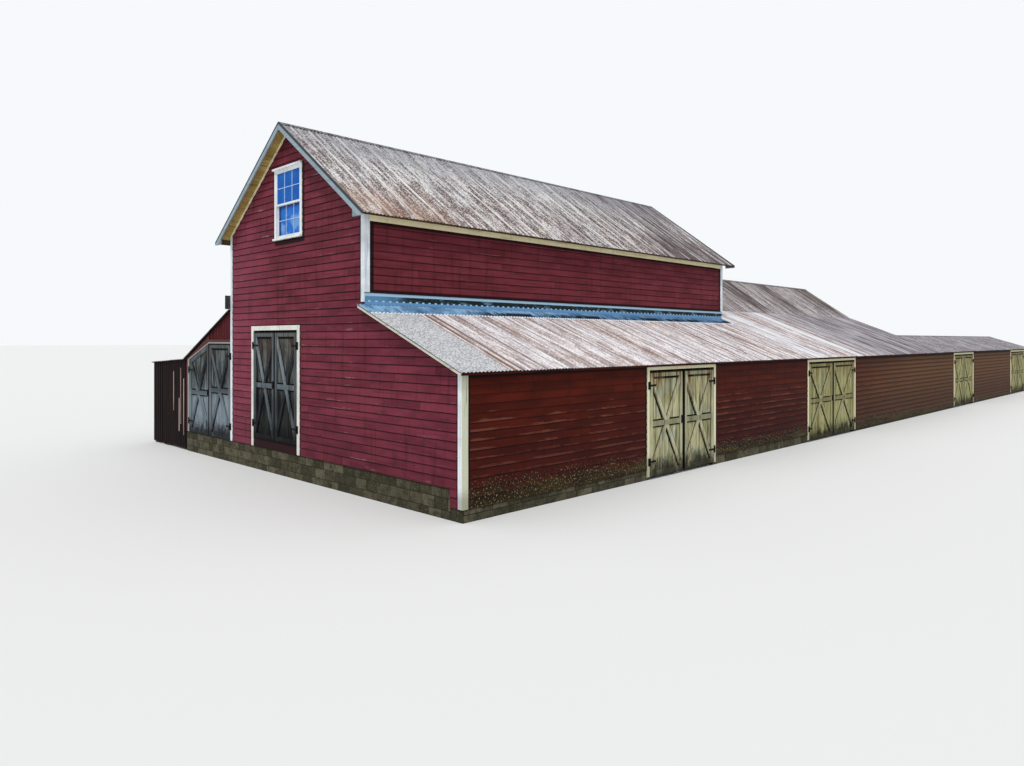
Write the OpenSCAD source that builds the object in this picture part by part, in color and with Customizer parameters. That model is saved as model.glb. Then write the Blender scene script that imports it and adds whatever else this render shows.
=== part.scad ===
// Red timber barn: a tall gabled front block, a lower nave behind it, an aisle
// along each side, an open-boarded shed on the left and a narrow wing at the back.
// Plan frame: x to the right from the tall block's left wall, y back from the
// front wall, z up from the floor that the foundation stands on.

/* [Tall block] */
// Width of the tall block across its front
tall_w = 5010; // [4700:10:5400]
// Length of the tall block from front to back
tall_l = 11830; // [11000:10:12500]
// Height of the tall roof's top face over the side walls
tall_eave_z = 4915; // [4800:5:5300]
// Pitch of the tall roof in degrees
tall_pitch = 36; // [30:1:40]
// Overhang of the tall roof past its side walls
tall_eave_oh = 275; // [150:5:350]
// Overhang of the tall roof past its gables
gable_oh = 245; // [200:5:320]

/* [Aisles and nave] */
// Width of the right aisle
aisle_w = 2460; // [2200:10:2800]
// Width of the left lean-to
leanto_w = 2450; // [2430:10:2700]
// Length of the main barn from the front wall to its rear gable
barn_l = 23200; // [21000:10:24500]
// Height of the lower roof's top face over the right side wall
side_eave_z = 2235; // [2210:5:2380]
// Pitch of the right lower roof in degrees
lower_pitch = 22; // [21:0.5:24]
// Height at which the left lean-to's roof meets the tall block's wall
leanto_top_z = 3305; // [3290:5:3340]
// Pitch of the left lean-to's roof in degrees
leanto_pitch = 24; // [22:0.5:24.5]
// Pitch of the upper nave roof behind the tall block, in degrees
nave_pitch = 34.5; // [30:0.5:38]
// How far the nave roof's right knee stands in from the tall block's side
knee_in = 715; // [500:5:900]
// Overhang of the lower roofs past the side walls
side_eave_oh = 135; // [90:5:180]
// Overhang of the right lower roof past the front wall
aisle_rake_oh = 160; // [100:5:190]
// Overhang of the left lower roof past the front wall
leanto_rake_oh = 140; // [100:5:180]
// Overhang of the nave roof past the rear gable
rear_oh = 150; // [80:5:220]

/* [Rear wing and shed] */
// Length of the narrow wing behind the main barn
wing_l = 16350; // [16200:10:16600]
// Width of the wing
wing_w = 3510; // [3000:10:4200]
// Pitch of the wing's roof in degrees
wing_pitch = 18.5; // [15:0.5:21]
// Width of the open-boarded shed
shed_w = 2110; // [1600:10:2300]
// Length of the open-boarded shed
shed_l = 8100; // [5000:10:10500]
// Fall of the shed's roof in degrees
shed_pitch = 3; // [1:0.5:4]

/* [Walls and foundation] */
// Thickness of the sided walls
wall_t = 120; // [100:5:150]
// Thickness of the vertical boarding with its rails
board_wall_t = 90; // [70:5:120]
// Height of the stone foundation at the front and along the left side
foundation_h = 470; // [440:10:560]
// Height of the foundation under the right wall, up to the second doorway
side_foundation_h = 200; // [150:5:260]
// Height of the foundation under the right wall beyond there, and under the wing
rear_foundation_h = 60; // [40:5:110]
// Thickness of the stone foundation
foundation_t = 260; // [200:10:320]
// Setback of the foundation behind the siding
foundation_setback = 15; // [5:5:40]
// Thickness of the tall and nave roofs, measured straight down
roof_t = 65; // [50:5:80]
// Thickness of the white trim boards
trim_t = 22; // [18:1:26]
// Width of the corner boards
corner_w = 85; // [75:5:120]
// Width of the tall block's front corner board on the lean-to's side
narrow_corner_w = 60; // [50:5:80]

/* [Doors] */
// Width of the front doorway
front_door_w = 1760; // [1600:10:1900]
// Distance of the front doorway from the tall block's left corner
front_door_x = 1045; // [1000:5:1200]
// Height of the front doorway's sill
front_sill_z = 640; // [600:10:700]
// Height of the front doorway's head
front_head_z = 2815; // [2700:5:2850]
// Width of the lean-to doorway
leanto_door_w = 2200; // [2000:10:2240]
// Height of the lean-to doorway's level head
leanto_head_z = 2545; // [2450:5:2560]
// Slope of the lean-to doorway's slanted head in degrees
leanto_head_pitch = 19; // [15:1:21]
// Height of the side doorways
side_door_h = 2060; // [1980:5:2080]
// Distance of the first side doorway behind the front wall
door_1_y = 4640; // [4200:5:5200]
// Width of the first side doorway
door_1_w = 2370; // [2100:5:2600]
// Distance of the second side doorway behind the front wall
door_2_y = 11820; // [11200:5:12400]
// Width of the second side doorway
door_2_w = 3130; // [2700:10:3300]
// Distance of the third side doorway behind the main barn's rear gable
door_3_y = 2180; // [1200:5:2600]
// Width of the third side doorway
door_3_w = 2790; // [2400:10:3000]
// Distance of the fourth side doorway behind the main barn's rear gable
door_4_y = 12090; // [11700:10:12400]
// Width of the fourth side doorway
door_4_w = 3050; // [2700:10:3200]
// Thickness of a leaf's upright boards
leaf_board_t = 25; // [20:1:30]
// Width of a leaf's rails, stiles and cross braces
brace_w = 105; // [80:5:130]
// Gap round a closed leaf
leaf_gap = 8; // [6:1:12]
// Gap over a closed leaf of the front and side doorways
head_gap = 30; // [10:5:45]
// Gap between the two closed leaves of a side doorway
side_meet_gap = 50; // [10:5:70]
// Width of the casing boards round the front doorways
casing_w = 90; // [70:5:100]
// Width of the casing boards beside the side doorways
side_casing_w = 75; // [50:5:90]

/* [Gable window] */
// Distance of the window's middle from the ridge, to the left of it
window_offset = 50; // [0:5:80]
// Width of the window opening
window_w = 930; // [800:10:980]
// Height of the window opening
window_h = 1300; // [1150:5:1350]
// Height of the window's sill
window_z = 4590; // [4500:10:4650]
// Width of the casing boards round the window
window_casing_w = 60; // [50:5:80]
// Width of the sash stiles and rails
sash_w = 40; // [34:2:50]

/* [Frame] */
// Width of the posts and girders
post_w = 140; // [120:5:160]
// Depth of the girders
girder_h = 200; // [180:5:240]
// Height of the loft floor's underside
loft_z = 3110; // [3000:10:3110]

/* [Hidden] */
$fn = 48;
right_x = tall_w + aisle_w;
left_x = -leanto_w;
ridge_x = tall_w / 2;
knee_r = tall_w - knee_in;
wing_x = right_x - wing_w;
wing_ridge_x = right_x - wing_w / 2;
total_l = barn_l + wing_l;
shed_x = left_x - shed_w;
shed_oh = 120;
leanto_eave_oh = 60;
window_x = ridge_x - window_offset;

// Heights of the roof faces
knee_z = side_eave_z + (right_x - knee_r) * tan(lower_pitch);
top_wall_z = side_eave_z + aisle_w * tan(lower_pitch);
leanto_eave_z = leanto_top_z + left_x * tan(leanto_pitch);
tall_ridge_z = tall_eave_z + ridge_x * tan(tall_pitch);
nave_ridge_z = knee_z + (knee_r - ridge_x) * tan(nave_pitch);
wing_ridge_z = side_eave_z + wing_w / 2 * tan(wing_pitch);
shed_top_z = leanto_eave_z - leanto_eave_oh * tan(leanto_pitch);

// The left knee is where the lean-to's slope meets the nave's
knee_l = (leanto_top_z - nave_ridge_z + ridge_x * tan(nave_pitch)) / (tan(nave_pitch) - tan(leanto_pitch));
knee_l_z = leanto_top_z + knee_l * tan(leanto_pitch);

// Small sizes that the pieces share
barge_t = 25;
barge_h = 145;
shed_board_t = 25;
shed_board_z = 40;
shed_roof_t = 40;
joint_gap = 5;
sheet_t = 6;

// Hair of clearance where a slanted face rests on another piece, and the drop
// from a roof's top face to what stands under it
seat_gap = 0.5;
under_t = roof_t + seat_gap;
shed_under_t = shed_roof_t + seat_gap;

// Sizes of the fittings
cap_w = 160;
flashing_h = 195;
flashing_apron = 385;
frieze_h = 230;
upstand_h = 270;
pad_h = 150;
pad_w = 300;
side_leaf_z = 60;
brace_t = trim_t;
pin_out = brace_t + 14;
pin_r = 9;
knuckle_h = 46;
knuckle_gap = 2;
strap_l = 200;
strap_w = 44;
strap_t = 5;
plate_w = 44;
sash_t = 35;
glass_t = 5;
liner_t = 15;
sill_h = 35;
sill_out = 65;
cap_out = 20;
sash_y = 5;
deck_t = 40;
joist_w = 60;
joist_h = 180;
joist_pitch = 900;

// Doorways in the right side wall, each by the y of its two jambs
side_doors = [
    [door_1_y, door_1_y + door_1_w], [door_2_y, door_2_y + door_2_w],
    [barn_l + door_3_y, barn_l + door_3_y + door_3_w],
    [barn_l + door_4_y, barn_l + door_4_y + door_4_w]
];

// Stretches of the right wall between the doorways, and the height of each one's foot
stretch_starts = concat([0], [for (d = side_doors) d[1]]);
stretch_ends = concat([for (d = side_doors) d[0]], [total_l]);
stretch_feet = [
    side_foundation_h, side_foundation_h,
    rear_foundation_h, rear_foundation_h, rear_foundation_h
];
inner_x = right_x - foundation_setback - foundation_t;

// Doorway in the lean-to's front
leanto_door_end = -trim_t - leaf_gap;
leanto_door_x = leanto_door_end - leanto_door_w;
leanto_clip_x = leanto_door_x + leanto_door_w / 2;
leanto_leaf_drop = leanto_door_w / 2 * tan(leanto_head_pitch);

// Door leaves, each half of its doorway less the gaps round it
front_leaf_w = front_door_w / 2 - 1.5 * leaf_gap;
front_leaf_h = front_head_z - front_sill_z - leaf_gap - head_gap;
leanto_leaf_w = leanto_door_w / 2 - 1.5 * leaf_gap;
leanto_leaf_h = leanto_head_z - foundation_h - 2 * leaf_gap;
leanto_clip_drop = leanto_leaf_w * tan(leanto_head_pitch);
leanto_clip_h = leanto_leaf_h - 1.5 * leaf_gap * tan(leanto_head_pitch);
side_leaf_h = side_door_h - side_leaf_z - head_gap;

// Sashes of the gable window, the upper one in front of the lower one
sash_low = window_z + liner_t;
sash_high = window_z + window_h - liner_t;
sash_mid = (sash_low + sash_high) / 2;

// Post places, by the centre of each
tall_posts = [
    for (x = [post_w / 2, tall_w - post_w / 2])
        for (i = [1 : 4]) [x, i < 4 ? tall_l * i / 4 : tall_l - post_w / 2]
];
shed_posts = [
    for (i = [0 : 3]) [shed_x + shed_board_t + joint_gap + post_w / 2,
        shed_board_t + joint_gap + post_w / 2
            + i * (shed_l - 2 * shed_board_t - 2 * joint_gap - post_w) / 3]
];

// The nave's two knee beams, each by its middle and its top
knee_beams = [
    [knee_l, knee_l_z - under_t - post_w / 2 * tan(leanto_pitch)],
    [knee_r, knee_z - under_t - post_w / 2 * tan(lower_pitch)]
];
nave_posts = [
    for (b = knee_beams)
        for (i = [1 : 3]) [b[0], tall_l + (barn_l - tall_l) * i / 4, b[1] - girder_h]
];

// The part stands over the centre of its own outline on the floor
low_x = shed_x - shed_oh;
high_x = right_x + side_eave_oh;
low_y = -gable_oh;
high_y = total_l + rear_oh;
mid_x = (low_x + high_x) / 2;
mid_y = (low_y + high_y) / 2;

function lower_z(x) = side_eave_z + (right_x - x) * tan(lower_pitch);
function leanto_z(x) = leanto_top_z + x * tan(leanto_pitch);
function tall_z(x) = tall_ridge_z - abs(x - ridge_x) * tan(tall_pitch);
function nave_z(x) = nave_ridge_z - abs(x - ridge_x) * tan(nave_pitch);
function wing_z(x) = wing_ridge_z - abs(x - wing_ridge_x) * tan(wing_pitch);
function shed_z(x) = shed_top_z - (left_x - leanto_eave_oh - x) * tan(shed_pitch);

// Moves the plan frame to the part's own origin
module place() {
    translate([-mid_x, -mid_y, 0]) children();
}

// Extrudes an outline drawn in x and z from y0 back to y1
module along_y(y0, y1) {
    translate([0, y1, 0]) rotate([90, 0, 0]) linear_extrude(y1 - y0) children();
}

// A block by its two corners
module block(low, high) {
    translate(low) cube(high - low);
}

// A roof slab between two edges, cut plumb at both
module slope(x0, z0, x1, z1, y0, y1, t) {
    along_y(y0, y1) polygon([[x0, z0], [x1, z1], [x1, z1 - t], [x0, z0 - t]]);
}

// The same piece on both sides of the tall block
module both_sides() {
    children();
    translate([tall_w, 0, 0]) mirror([1, 0, 0]) children();
}

module stone_foundation() {
    s = foundation_setback;
    t = foundation_t;
    h = foundation_h;
    low = rear_foundation_h;
    end_x = inner_x - joint_gap;
    last = len(stretch_starts) - 1;
    color("darkolivegreen") place() {
        block([left_x + s, s, 0], [end_x, s + t, h]);
        for (i = [0 : last])
            block([inner_x, stretch_starts[i] + (i == 0 ? s : 0), 0],
                [right_x - s, stretch_ends[i] - (i == last ? s : 0), stretch_feet[i]]);
        block([left_x + s, s + t + joint_gap, 0], [left_x + s + t, barn_l - s - t - joint_gap, h]);
        block([left_x + s, barn_l - s - t, 0], [end_x, barn_l - s, h]);
        block([wing_x + s, barn_l - s + joint_gap, 0],
            [wing_x + s + t, total_l - s - t - joint_gap, low]);
        block([wing_x + s, total_l - s - t, 0], [end_x, total_l - s, low]);
        for (p = concat(tall_posts, nave_posts))
            block([p[0] - pad_w / 2, p[1] - pad_w / 2, 0],
                [p[0] + pad_w / 2, p[1] + pad_w / 2, pad_h]);
    }
}

module frame_posts() {
    color("dimgray") place() {
        for (p = tall_posts)
            block([p[0] - post_w / 2, p[1] - post_w / 2, pad_h],
                [p[0] + post_w / 2, p[1] + post_w / 2, loft_z - girder_h]);
        for (p = nave_posts)
            block([p[0] - post_w / 2, p[1] - post_w / 2, pad_h],
                [p[0] + post_w / 2, p[1] + post_w / 2, p[2]]);
        for (p = shed_posts)
            block([p[0] - post_w / 2, p[1] - post_w / 2, 0],
                [p[0] + post_w / 2, p[1] + post_w / 2, shed_z(p[0] - post_w / 2) - shed_under_t]);
    }
}

module frame_girders() {
    color("dimgray") place() {
        both_sides()
            block([0, wall_t, loft_z - girder_h], [post_w, tall_l, loft_z]);
        block([post_w + joint_gap, tall_l - wall_t, loft_z - girder_h],
            [tall_w - post_w - joint_gap, tall_l, loft_z]);
        for (b = knee_beams)
            block([b[0] - post_w / 2, tall_l + joint_gap, b[1] - girder_h],
                [b[0] + post_w / 2, barn_l - wall_t, b[1]]);
    }
}

module loft_floor() {
    n = floor((tall_l - 2 * wall_t - joist_w) / joist_pitch);
    step = (tall_l - 3 * wall_t - joist_w) / n;
    color("tan") place() {
        block([wall_t, wall_t, loft_z], [tall_w - wall_t, tall_l - wall_t, loft_z + deck_t]);
        for (i = [0 : n])
            block([post_w, wall_t + i * step, loft_z - joist_h],
                [tall_w - post_w, wall_t + i * step + joist_w, loft_z]);
    }
}

module front_wall_beside_door() {
    color("firebrick") place() {
        block([0, 0, foundation_h], [front_door_x, wall_t, front_head_z]);
        block([front_door_x + front_door_w, 0, foundation_h], [tall_w, wall_t, front_head_z]);
    }
}

module front_wall_under_door() {
    color("maroon") place()
        block([front_door_x, 0, foundation_h], [front_door_x + front_door_w, wall_t, front_sill_z]);
}

module tall_gable_outline(z0) {
    polygon([[0, z0], [tall_w, z0], [tall_w, tall_z(tall_w) - under_t],
        [ridge_x, tall_ridge_z - under_t], [0, tall_z(0) - under_t]]);
}

module window_outline(grow) {
    translate([window_x - window_w / 2 - grow, window_z - grow])
        square([window_w + 2 * grow, window_h + 2 * grow]);
}

module front_gable_wall() {
    color("firebrick") place() along_y(0, wall_t) difference() {
        tall_gable_outline(front_head_z);
        window_outline(0);
    }
}

module tall_rear_gable_wall() {
    color("firebrick") place() along_y(tall_l - wall_t, tall_l) tall_gable_outline(loft_z);
}

module aisle_front_wall() {
    color("firebrick") place() along_y(0, wall_t)
        polygon([[tall_w, foundation_h], [inner_x, foundation_h],
            [inner_x, side_foundation_h], [right_x, side_foundation_h],
            [right_x, side_eave_z - under_t], [tall_w, top_wall_z - under_t]]);
}

module leanto_front_wall() {
    door_end = leanto_door_end;
    color("brown") place() along_y(0, board_wall_t) {
        polygon([[left_x, foundation_h], [leanto_door_x, foundation_h],
            [leanto_door_x, leanto_z(leanto_door_x) - under_t], [left_x, leanto_eave_z - under_t]]);
        polygon([[door_end, foundation_h], [0, foundation_h],
            [0, leanto_z(0) - under_t], [door_end, leanto_z(door_end) - under_t]]);
        polygon([[leanto_clip_x, leanto_head_z], [door_end, leanto_head_z],
            [door_end, leanto_z(door_end) - under_t], [leanto_clip_x, leanto_z(leanto_clip_x) - under_t]]);
        polygon([[leanto_door_x, leanto_head_z - leanto_leaf_drop], [leanto_clip_x, leanto_head_z],
            [leanto_clip_x, leanto_z(leanto_clip_x) - under_t],
            [leanto_door_x, leanto_z(leanto_door_x) - under_t]]);
    }
}

module right_side_wall() {
    last = len(stretch_starts) - 1;
    color("maroon") place() for (i = [0 : last])
        block([right_x - wall_t, stretch_starts[i] + (i == 0 ? wall_t : 0), stretch_feet[i]],
            [right_x, stretch_ends[i] - (i == last ? wall_t : 0), side_door_h]);
}

module right_wall_plates() {
    in_x = right_x - wall_t;
    color("maroon") place() {
        along_y(wall_t, barn_l)
            polygon([[in_x, side_door_h], [right_x, side_door_h],
                [right_x, side_eave_z - under_t], [in_x, lower_z(in_x) - under_t]]);
        along_y(barn_l + joint_gap, total_l - wall_t)
            polygon([[in_x, side_door_h], [right_x, side_door_h],
                [right_x, side_eave_z - under_t], [in_x, wing_z(in_x) - under_t]]);
    }
}

module left_side_wall() {
    color("brown") place() along_y(board_wall_t, barn_l - wall_t)
        polygon([[left_x, foundation_h], [left_x + board_wall_t, foundation_h],
            [left_x + board_wall_t, leanto_z(left_x + board_wall_t) - under_t],
            [left_x, leanto_eave_z - under_t]]);
}

module clerestory_walls() {
    color("firebrick") place() both_sides() along_y(wall_t, tall_l - wall_t)
        polygon([[0, loft_z], [wall_t, loft_z],
            [wall_t, tall_z(wall_t) - under_t], [0, tall_z(0) - under_t]]);
}

module rear_gable_wall() {
    in_x = right_x - wall_t;
    color("firebrick") place() along_y(barn_l - wall_t, barn_l)
        polygon([[left_x, foundation_h], [inner_x, foundation_h],
            [inner_x, rear_foundation_h], [in_x, rear_foundation_h],
            [in_x, lower_z(in_x) - under_t], [knee_r, knee_z - under_t],
            [ridge_x, nave_ridge_z - under_t], [knee_l, knee_l_z - under_t],
            [left_x, leanto_eave_z - under_t]]);
}

module wing_left_wall() {
    color("maroon") place() along_y(barn_l, total_l - wall_t)
        polygon([[wing_x, rear_foundation_h], [wing_x + wall_t, rear_foundation_h],
            [wing_x + wall_t, wing_z(wing_x + wall_t) - under_t], [wing_x, wing_z(wing_x) - under_t]]);
}

module wing_rear_wall() {
    color("maroon") place() along_y(total_l - wall_t, total_l)
        polygon([[wing_x, rear_foundation_h], [right_x, rear_foundation_h],
            [right_x, wing_z(right_x) - under_t], [wing_ridge_x, wing_ridge_z - under_t],
            [wing_x, wing_z(wing_x) - under_t]]);
}

module shed_boards() {
    eave_x = left_x - leanto_eave_oh;
    module gable(y0)
        along_y(y0, y0 + shed_board_t)
            polygon([[shed_x, shed_board_z], [left_x, shed_board_z],
                [left_x, leanto_eave_z - under_t], [eave_x, shed_top_z - under_t],
                [eave_x, shed_top_z - shed_under_t], [shed_x, shed_z(shed_x) - shed_under_t]]);
    color("saddlebrown") place() {
        gable(0);
        gable(shed_l - shed_board_t);
        along_y(shed_board_t + joint_gap, shed_l - shed_board_t - joint_gap)
            polygon([[shed_x, shed_board_z], [shed_x + shed_board_t, shed_board_z],
                [shed_x + shed_board_t, shed_z(shed_x) - shed_under_t],
                [shed_x, shed_z(shed_x) - shed_under_t]]);
    }
}

// The two slopes part by a joint under the ridge cap
module tall_roof() {
    color("silver") place() both_sides()
        slope(-tall_eave_oh, tall_z(-tall_eave_oh), ridge_x - joint_gap, tall_z(ridge_x - joint_gap),
            barge_t - gable_oh, tall_l + gable_oh - barge_t, roof_t);
}

module right_lower_roof() {
    color("lightgray") place() {
        slope(tall_w, top_wall_z, right_x + side_eave_oh, lower_z(right_x + side_eave_oh),
            -aisle_rake_oh, barn_l + rear_oh, roof_t);
        slope(knee_r, knee_z, tall_w, top_wall_z, tall_l, barn_l + rear_oh, roof_t);
    }
}

// The left slope is notched round the tall block's corner board
module left_lower_roof() {
    low = left_x - leanto_eave_oh;
    color("lightgray") place() {
        difference() {
            slope(low, leanto_z(low), 0, leanto_z(0), -leanto_rake_oh, barn_l + rear_oh, roof_t);
            block([-trim_t, -2 * leanto_rake_oh, leanto_eave_z], [trim_t, 0, tall_eave_z]);
        }
        slope(0, leanto_z(0), knee_l, knee_l_z, tall_l, barn_l + rear_oh, roof_t);
    }
}

module nave_roof() {
    color("rosybrown") place() {
        slope(knee_l, knee_l_z, ridge_x - joint_gap, nave_z(ridge_x - joint_gap),
            tall_l, barn_l + rear_oh, roof_t);
        slope(ridge_x + joint_gap, nave_z(ridge_x + joint_gap), knee_r, knee_z,
            tall_l, barn_l + rear_oh, roof_t);
    }
}

module wing_roof() {
    y0 = barn_l + rear_oh;
    color("lightgray") place() {
        slope(wing_ridge_x + joint_gap, wing_z(wing_ridge_x + joint_gap),
            right_x + side_eave_oh, wing_z(right_x + side_eave_oh), y0, high_y, roof_t);
        slope(wing_x - side_eave_oh, wing_z(wing_x - side_eave_oh),
            wing_ridge_x - joint_gap, wing_z(wing_ridge_x - joint_gap), y0, high_y, roof_t);
    }
}

module shed_roof() {
    color("gainsboro") place()
        slope(low_x, shed_z(low_x), left_x - leanto_eave_oh, shed_top_z,
            -leanto_rake_oh, shed_l + leanto_rake_oh, shed_roof_t);
}

// A folded sheet over a ridge
module ridge_cap(x, z, pitch, y0, y1) {
    fall = cap_w * tan(pitch);
    along_y(y0, y1) translate([x, z + seat_gap])
        polygon([[-cap_w, -fall], [0, 0], [cap_w, -fall],
            [cap_w, sheet_t - fall], [0, sheet_t], [-cap_w, sheet_t - fall]]);
}

module ridge_caps() {
    color("darkgray") place() {
        ridge_cap(ridge_x, tall_ridge_z, tall_pitch, -gable_oh, tall_l + gable_oh);
        ridge_cap(ridge_x, nave_ridge_z, nave_pitch, tall_l + joint_gap, barn_l + rear_oh);
        ridge_cap(wing_ridge_x, wing_ridge_z, wing_pitch, barn_l + rear_oh, high_y);
    }
}

// A sheet folded between the tall block's wall and the roof beside it
module flashing(z, pitch) {
    fall = flashing_apron * tan(pitch);
    along_y(0, tall_l) translate([0, z + seat_gap])
        polygon([[0, 0], [-flashing_apron, -fall], [-flashing_apron, sheet_t - fall],
            [-sheet_t, sheet_t], [-sheet_t, flashing_h - seat_gap], [0, flashing_h - seat_gap]]);
}

module wall_flashings() {
    in_x = -trim_t;
    out_x = in_x - sheet_t;
    color("lightsteelblue") place() {
        flashing(leanto_top_z, leanto_pitch);
        translate([tall_w, 0, 0]) mirror([1, 0, 0]) flashing(top_wall_z, lower_pitch);
        along_y(-leanto_rake_oh, 0)
            polygon([[out_x, leanto_z(out_x) + seat_gap], [in_x, leanto_z(in_x) + seat_gap],
                [in_x, leanto_top_z + upstand_h], [out_x, leanto_top_z + upstand_h]]);
    }
}

// Two boards that cover an outside corner: sx and sy point away from the building
module corner_board(x, y, sx, sy, z0, z1) {
    translate([x, y, z0]) linear_extrude(z1 - z0) scale([sx, sy]) {
        translate([-corner_w, 0]) square([corner_w + trim_t, trim_t]);
        translate([0, -corner_w]) square([trim_t, corner_w + trim_t]);
    }
}

module corner_boards() {
    top = tall_z(tall_w + trim_t) - under_t;
    low = side_eave_z - trim_t * tan(lower_pitch) - under_t;
    z0 = top_wall_z + flashing_h;
    left_z0 = leanto_top_z + flashing_h;
    rake_z = top_wall_z + corner_w * tan(lower_pitch);
    color("ghostwhite") place() {
        block([-trim_t, -trim_t, foundation_h], [narrow_corner_w, 0, top]);
        block([-trim_t, 0, left_z0], [0, corner_w, top]);
        block([tall_w - corner_w, -trim_t, rake_z], [tall_w, 0, top]);
        block([tall_w, -trim_t, z0], [tall_w + trim_t, corner_w, top]);
        corner_board(tall_w, tall_l, 1, 1, z0, top);
        corner_board(0, tall_l, -1, 1, left_z0, top);
        corner_board(right_x, 0, 1, -1, side_foundation_h, low);
        corner_board(right_x, total_l, 1, 1, rear_foundation_h, low);
    }
}

module frieze_boards() {
    top = tall_z(-trim_t) - under_t;
    low = tall_z(0) - under_t - frieze_h;
    color("wheat") place() both_sides() along_y(corner_w, tall_l - corner_w)
        polygon([[-trim_t, low], [0, low], [0, tall_z(0) - under_t], [-trim_t, top]]);
}

// Boards up the gables, each with a level foot outside the wall
module bargeboards() {
    top_x = ridge_x - sheet_t;
    end_z = tall_z(-tall_eave_oh);
    color("aliceblue") place() for (y = [-gable_oh, tall_l + gable_oh - barge_t]) both_sides()
        along_y(y, y + barge_t) polygon([[top_x, tall_z(top_x)], [top_x, tall_z(top_x) - barge_h],
            [0, tall_z(0) - barge_h], [0, end_z - roof_t], [-tall_eave_oh, end_z - roof_t],
            [-tall_eave_oh, end_z]]);
}

// Outline of a casing round an opening, open at the foot
module casing_outline(w, h, side, head) {
    difference() {
        translate([-side, 0]) square([w + 2 * side, h + head]);
        translate([0, -1]) square([w, h + 1]);
    }
}

// The fixed half of a strap hinge, with its two knuckles, beside a pin at the origin
module hinge_plate() {
    tall = 3 * knuckle_h + 2 * knuckle_gap;
    back = pin_out - brace_t;
    translate([-plate_w - 10, back - strap_t, -tall / 2]) cube([plate_w, strap_t, tall]);
    for (z = [-tall / 2, tall / 2 - knuckle_h]) translate([0, 0, z]) {
        cylinder(r = pin_r, h = knuckle_h);
        translate([-plate_w / 2, 0, 0]) cube([plate_w / 2, back, knuckle_h]);
    }
}

// The moving half: one knuckle and a long tapered strap
module hinge_strap(reach) {
    back = pin_out - brace_t;
    translate([0, 0, -knuckle_h / 2]) cylinder(r = pin_r, h = knuckle_h);
    translate([0, 0, -knuckle_h / 2]) cube([2 * pin_r, back, knuckle_h]);
    translate([0, back, 0]) rotate([90, 0, 0]) linear_extrude(strap_t)
        polygon([[0, -strap_w / 2], [reach - strap_w, -strap_w / 3], [reach, 0],
            [reach - strap_w, strap_w / 3], [0, strap_w / 2]]);
}

// Heights of the hinges on a leaf, from its foot
function hinge_heights(h) = [0.09 * h + 100, h - 0.09 * h - 80];

// A straight bar between two points of a leaf
module bar(a, b) {
    d = b - a;
    translate(a) rotate(atan2(d[1], d[0])) translate([-brace_w, -brace_w / 2])
        square([norm(d) + 2 * brace_w, brace_w]);
}

// A ledged leaf: upright boards, a frame of rails and stiles, and a full-height cross.
// The hinge edge is at x = 0, the boards' outer face at y = 0, the inside towards +y.
module leaf(w, h, drop) {
    inset = brace_w * 0.8;
    mid = h / 2 - drop / 4;
    pin_x = -leaf_gap / 2;
    module outline() polygon([[0, 0], [w, 0], [w, h], [0, h - drop]]);
    translate([0, leaf_board_t, 0]) rotate([90, 0, 0]) linear_extrude(leaf_board_t) outline();
    rotate([90, 0, 0]) linear_extrude(brace_t) intersection() {
        outline();
        union() {
            square([brace_w, h]);
            translate([w - brace_w, 0]) square([brace_w, h]);
            square([w, brace_w]);
            translate([0, mid - brace_w / 2]) square([w, brace_w]);
            bar([0, h - drop - brace_w / 2], [w, h - brace_w / 2]);
            bar([inset, inset], [w - inset, h - inset]);
            bar([w - inset, inset], [inset, h - drop - inset]);
        }
    }
    for (z = hinge_heights(h - drop))
        translate([pin_x, -pin_out, z]) hinge_strap(min(strap_l, w - brace_w));
}

// The fixed hinge plates for a leaf
module leaf_plates(h) {
    for (z = hinge_heights(h))
        translate([-leaf_gap / 2, -pin_out, z]) hinge_plate();
}

// Puts a leaf or its plates at a jamb of the front wall: side is 1 at the left jamb
module at_front(x, z, side) {
    translate([x + side * leaf_gap, 0, z + leaf_gap]) scale([side, 1, 1]) children();
}

// Puts a leaf or its plates at a jamb of the right wall: side is 1 at the nearer jamb
module at_side(y, side) {
    translate([right_x, y + side * leaf_gap, side_leaf_z]) rotate([0, 0, 90])
        scale([side, 1, 1]) children();
}

module door_casings() {
    low = side_eave_z - trim_t * tan(lower_pitch) - under_t;
    left_h = leanto_clip_h - leanto_clip_drop;
    x1 = front_door_x + front_door_w;
    end = leanto_door_end;
    clip_z = leanto_head_z - leanto_leaf_drop;
    jamb_x = leanto_door_x - casing_w;
    slant_drop = under_t + trim_t;
    color("ghostwhite") place() {
        along_y(-trim_t, 0) translate([front_door_x, foundation_h])
            casing_outline(front_door_w, front_head_z - foundation_h, casing_w, casing_w);
        at_front(front_door_x, front_sill_z, 1) leaf_plates(front_leaf_h);
        at_front(x1, front_sill_z, -1) leaf_plates(front_leaf_h);
        along_y(-trim_t, 0) {
            translate([jamb_x, foundation_h]) square([casing_w, clip_z - foundation_h]);
            polygon([[jamb_x, clip_z], [leanto_door_x, clip_z],
                [leanto_clip_x, leanto_head_z], [-trim_t, leanto_head_z],
                [-trim_t, leanto_head_z + casing_w], [leanto_clip_x, leanto_head_z + casing_w],
                [leanto_clip_x, leanto_z(leanto_clip_x) - slant_drop],
                [jamb_x, max(clip_z + joint_gap, leanto_z(jamb_x) - slant_drop)]]);
        }
        at_front(leanto_door_x, foundation_h, 1) leaf_plates(left_h);
        at_front(end, foundation_h, -1) leaf_plates(leanto_leaf_h);
        for (i = [0 : len(side_doors) - 1]) {
            d = side_doors[i];
            translate([right_x, d[0], side_leaf_z]) rotate([90, 0, 90]) linear_extrude(trim_t)
                casing_outline(d[1] - d[0], side_door_h - side_leaf_z, side_casing_w, low - side_door_h);
            at_side(d[0], 1) leaf_plates(side_leaf_h);
            at_side(d[1], -1) leaf_plates(side_leaf_h);
        }
    }
}

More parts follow.
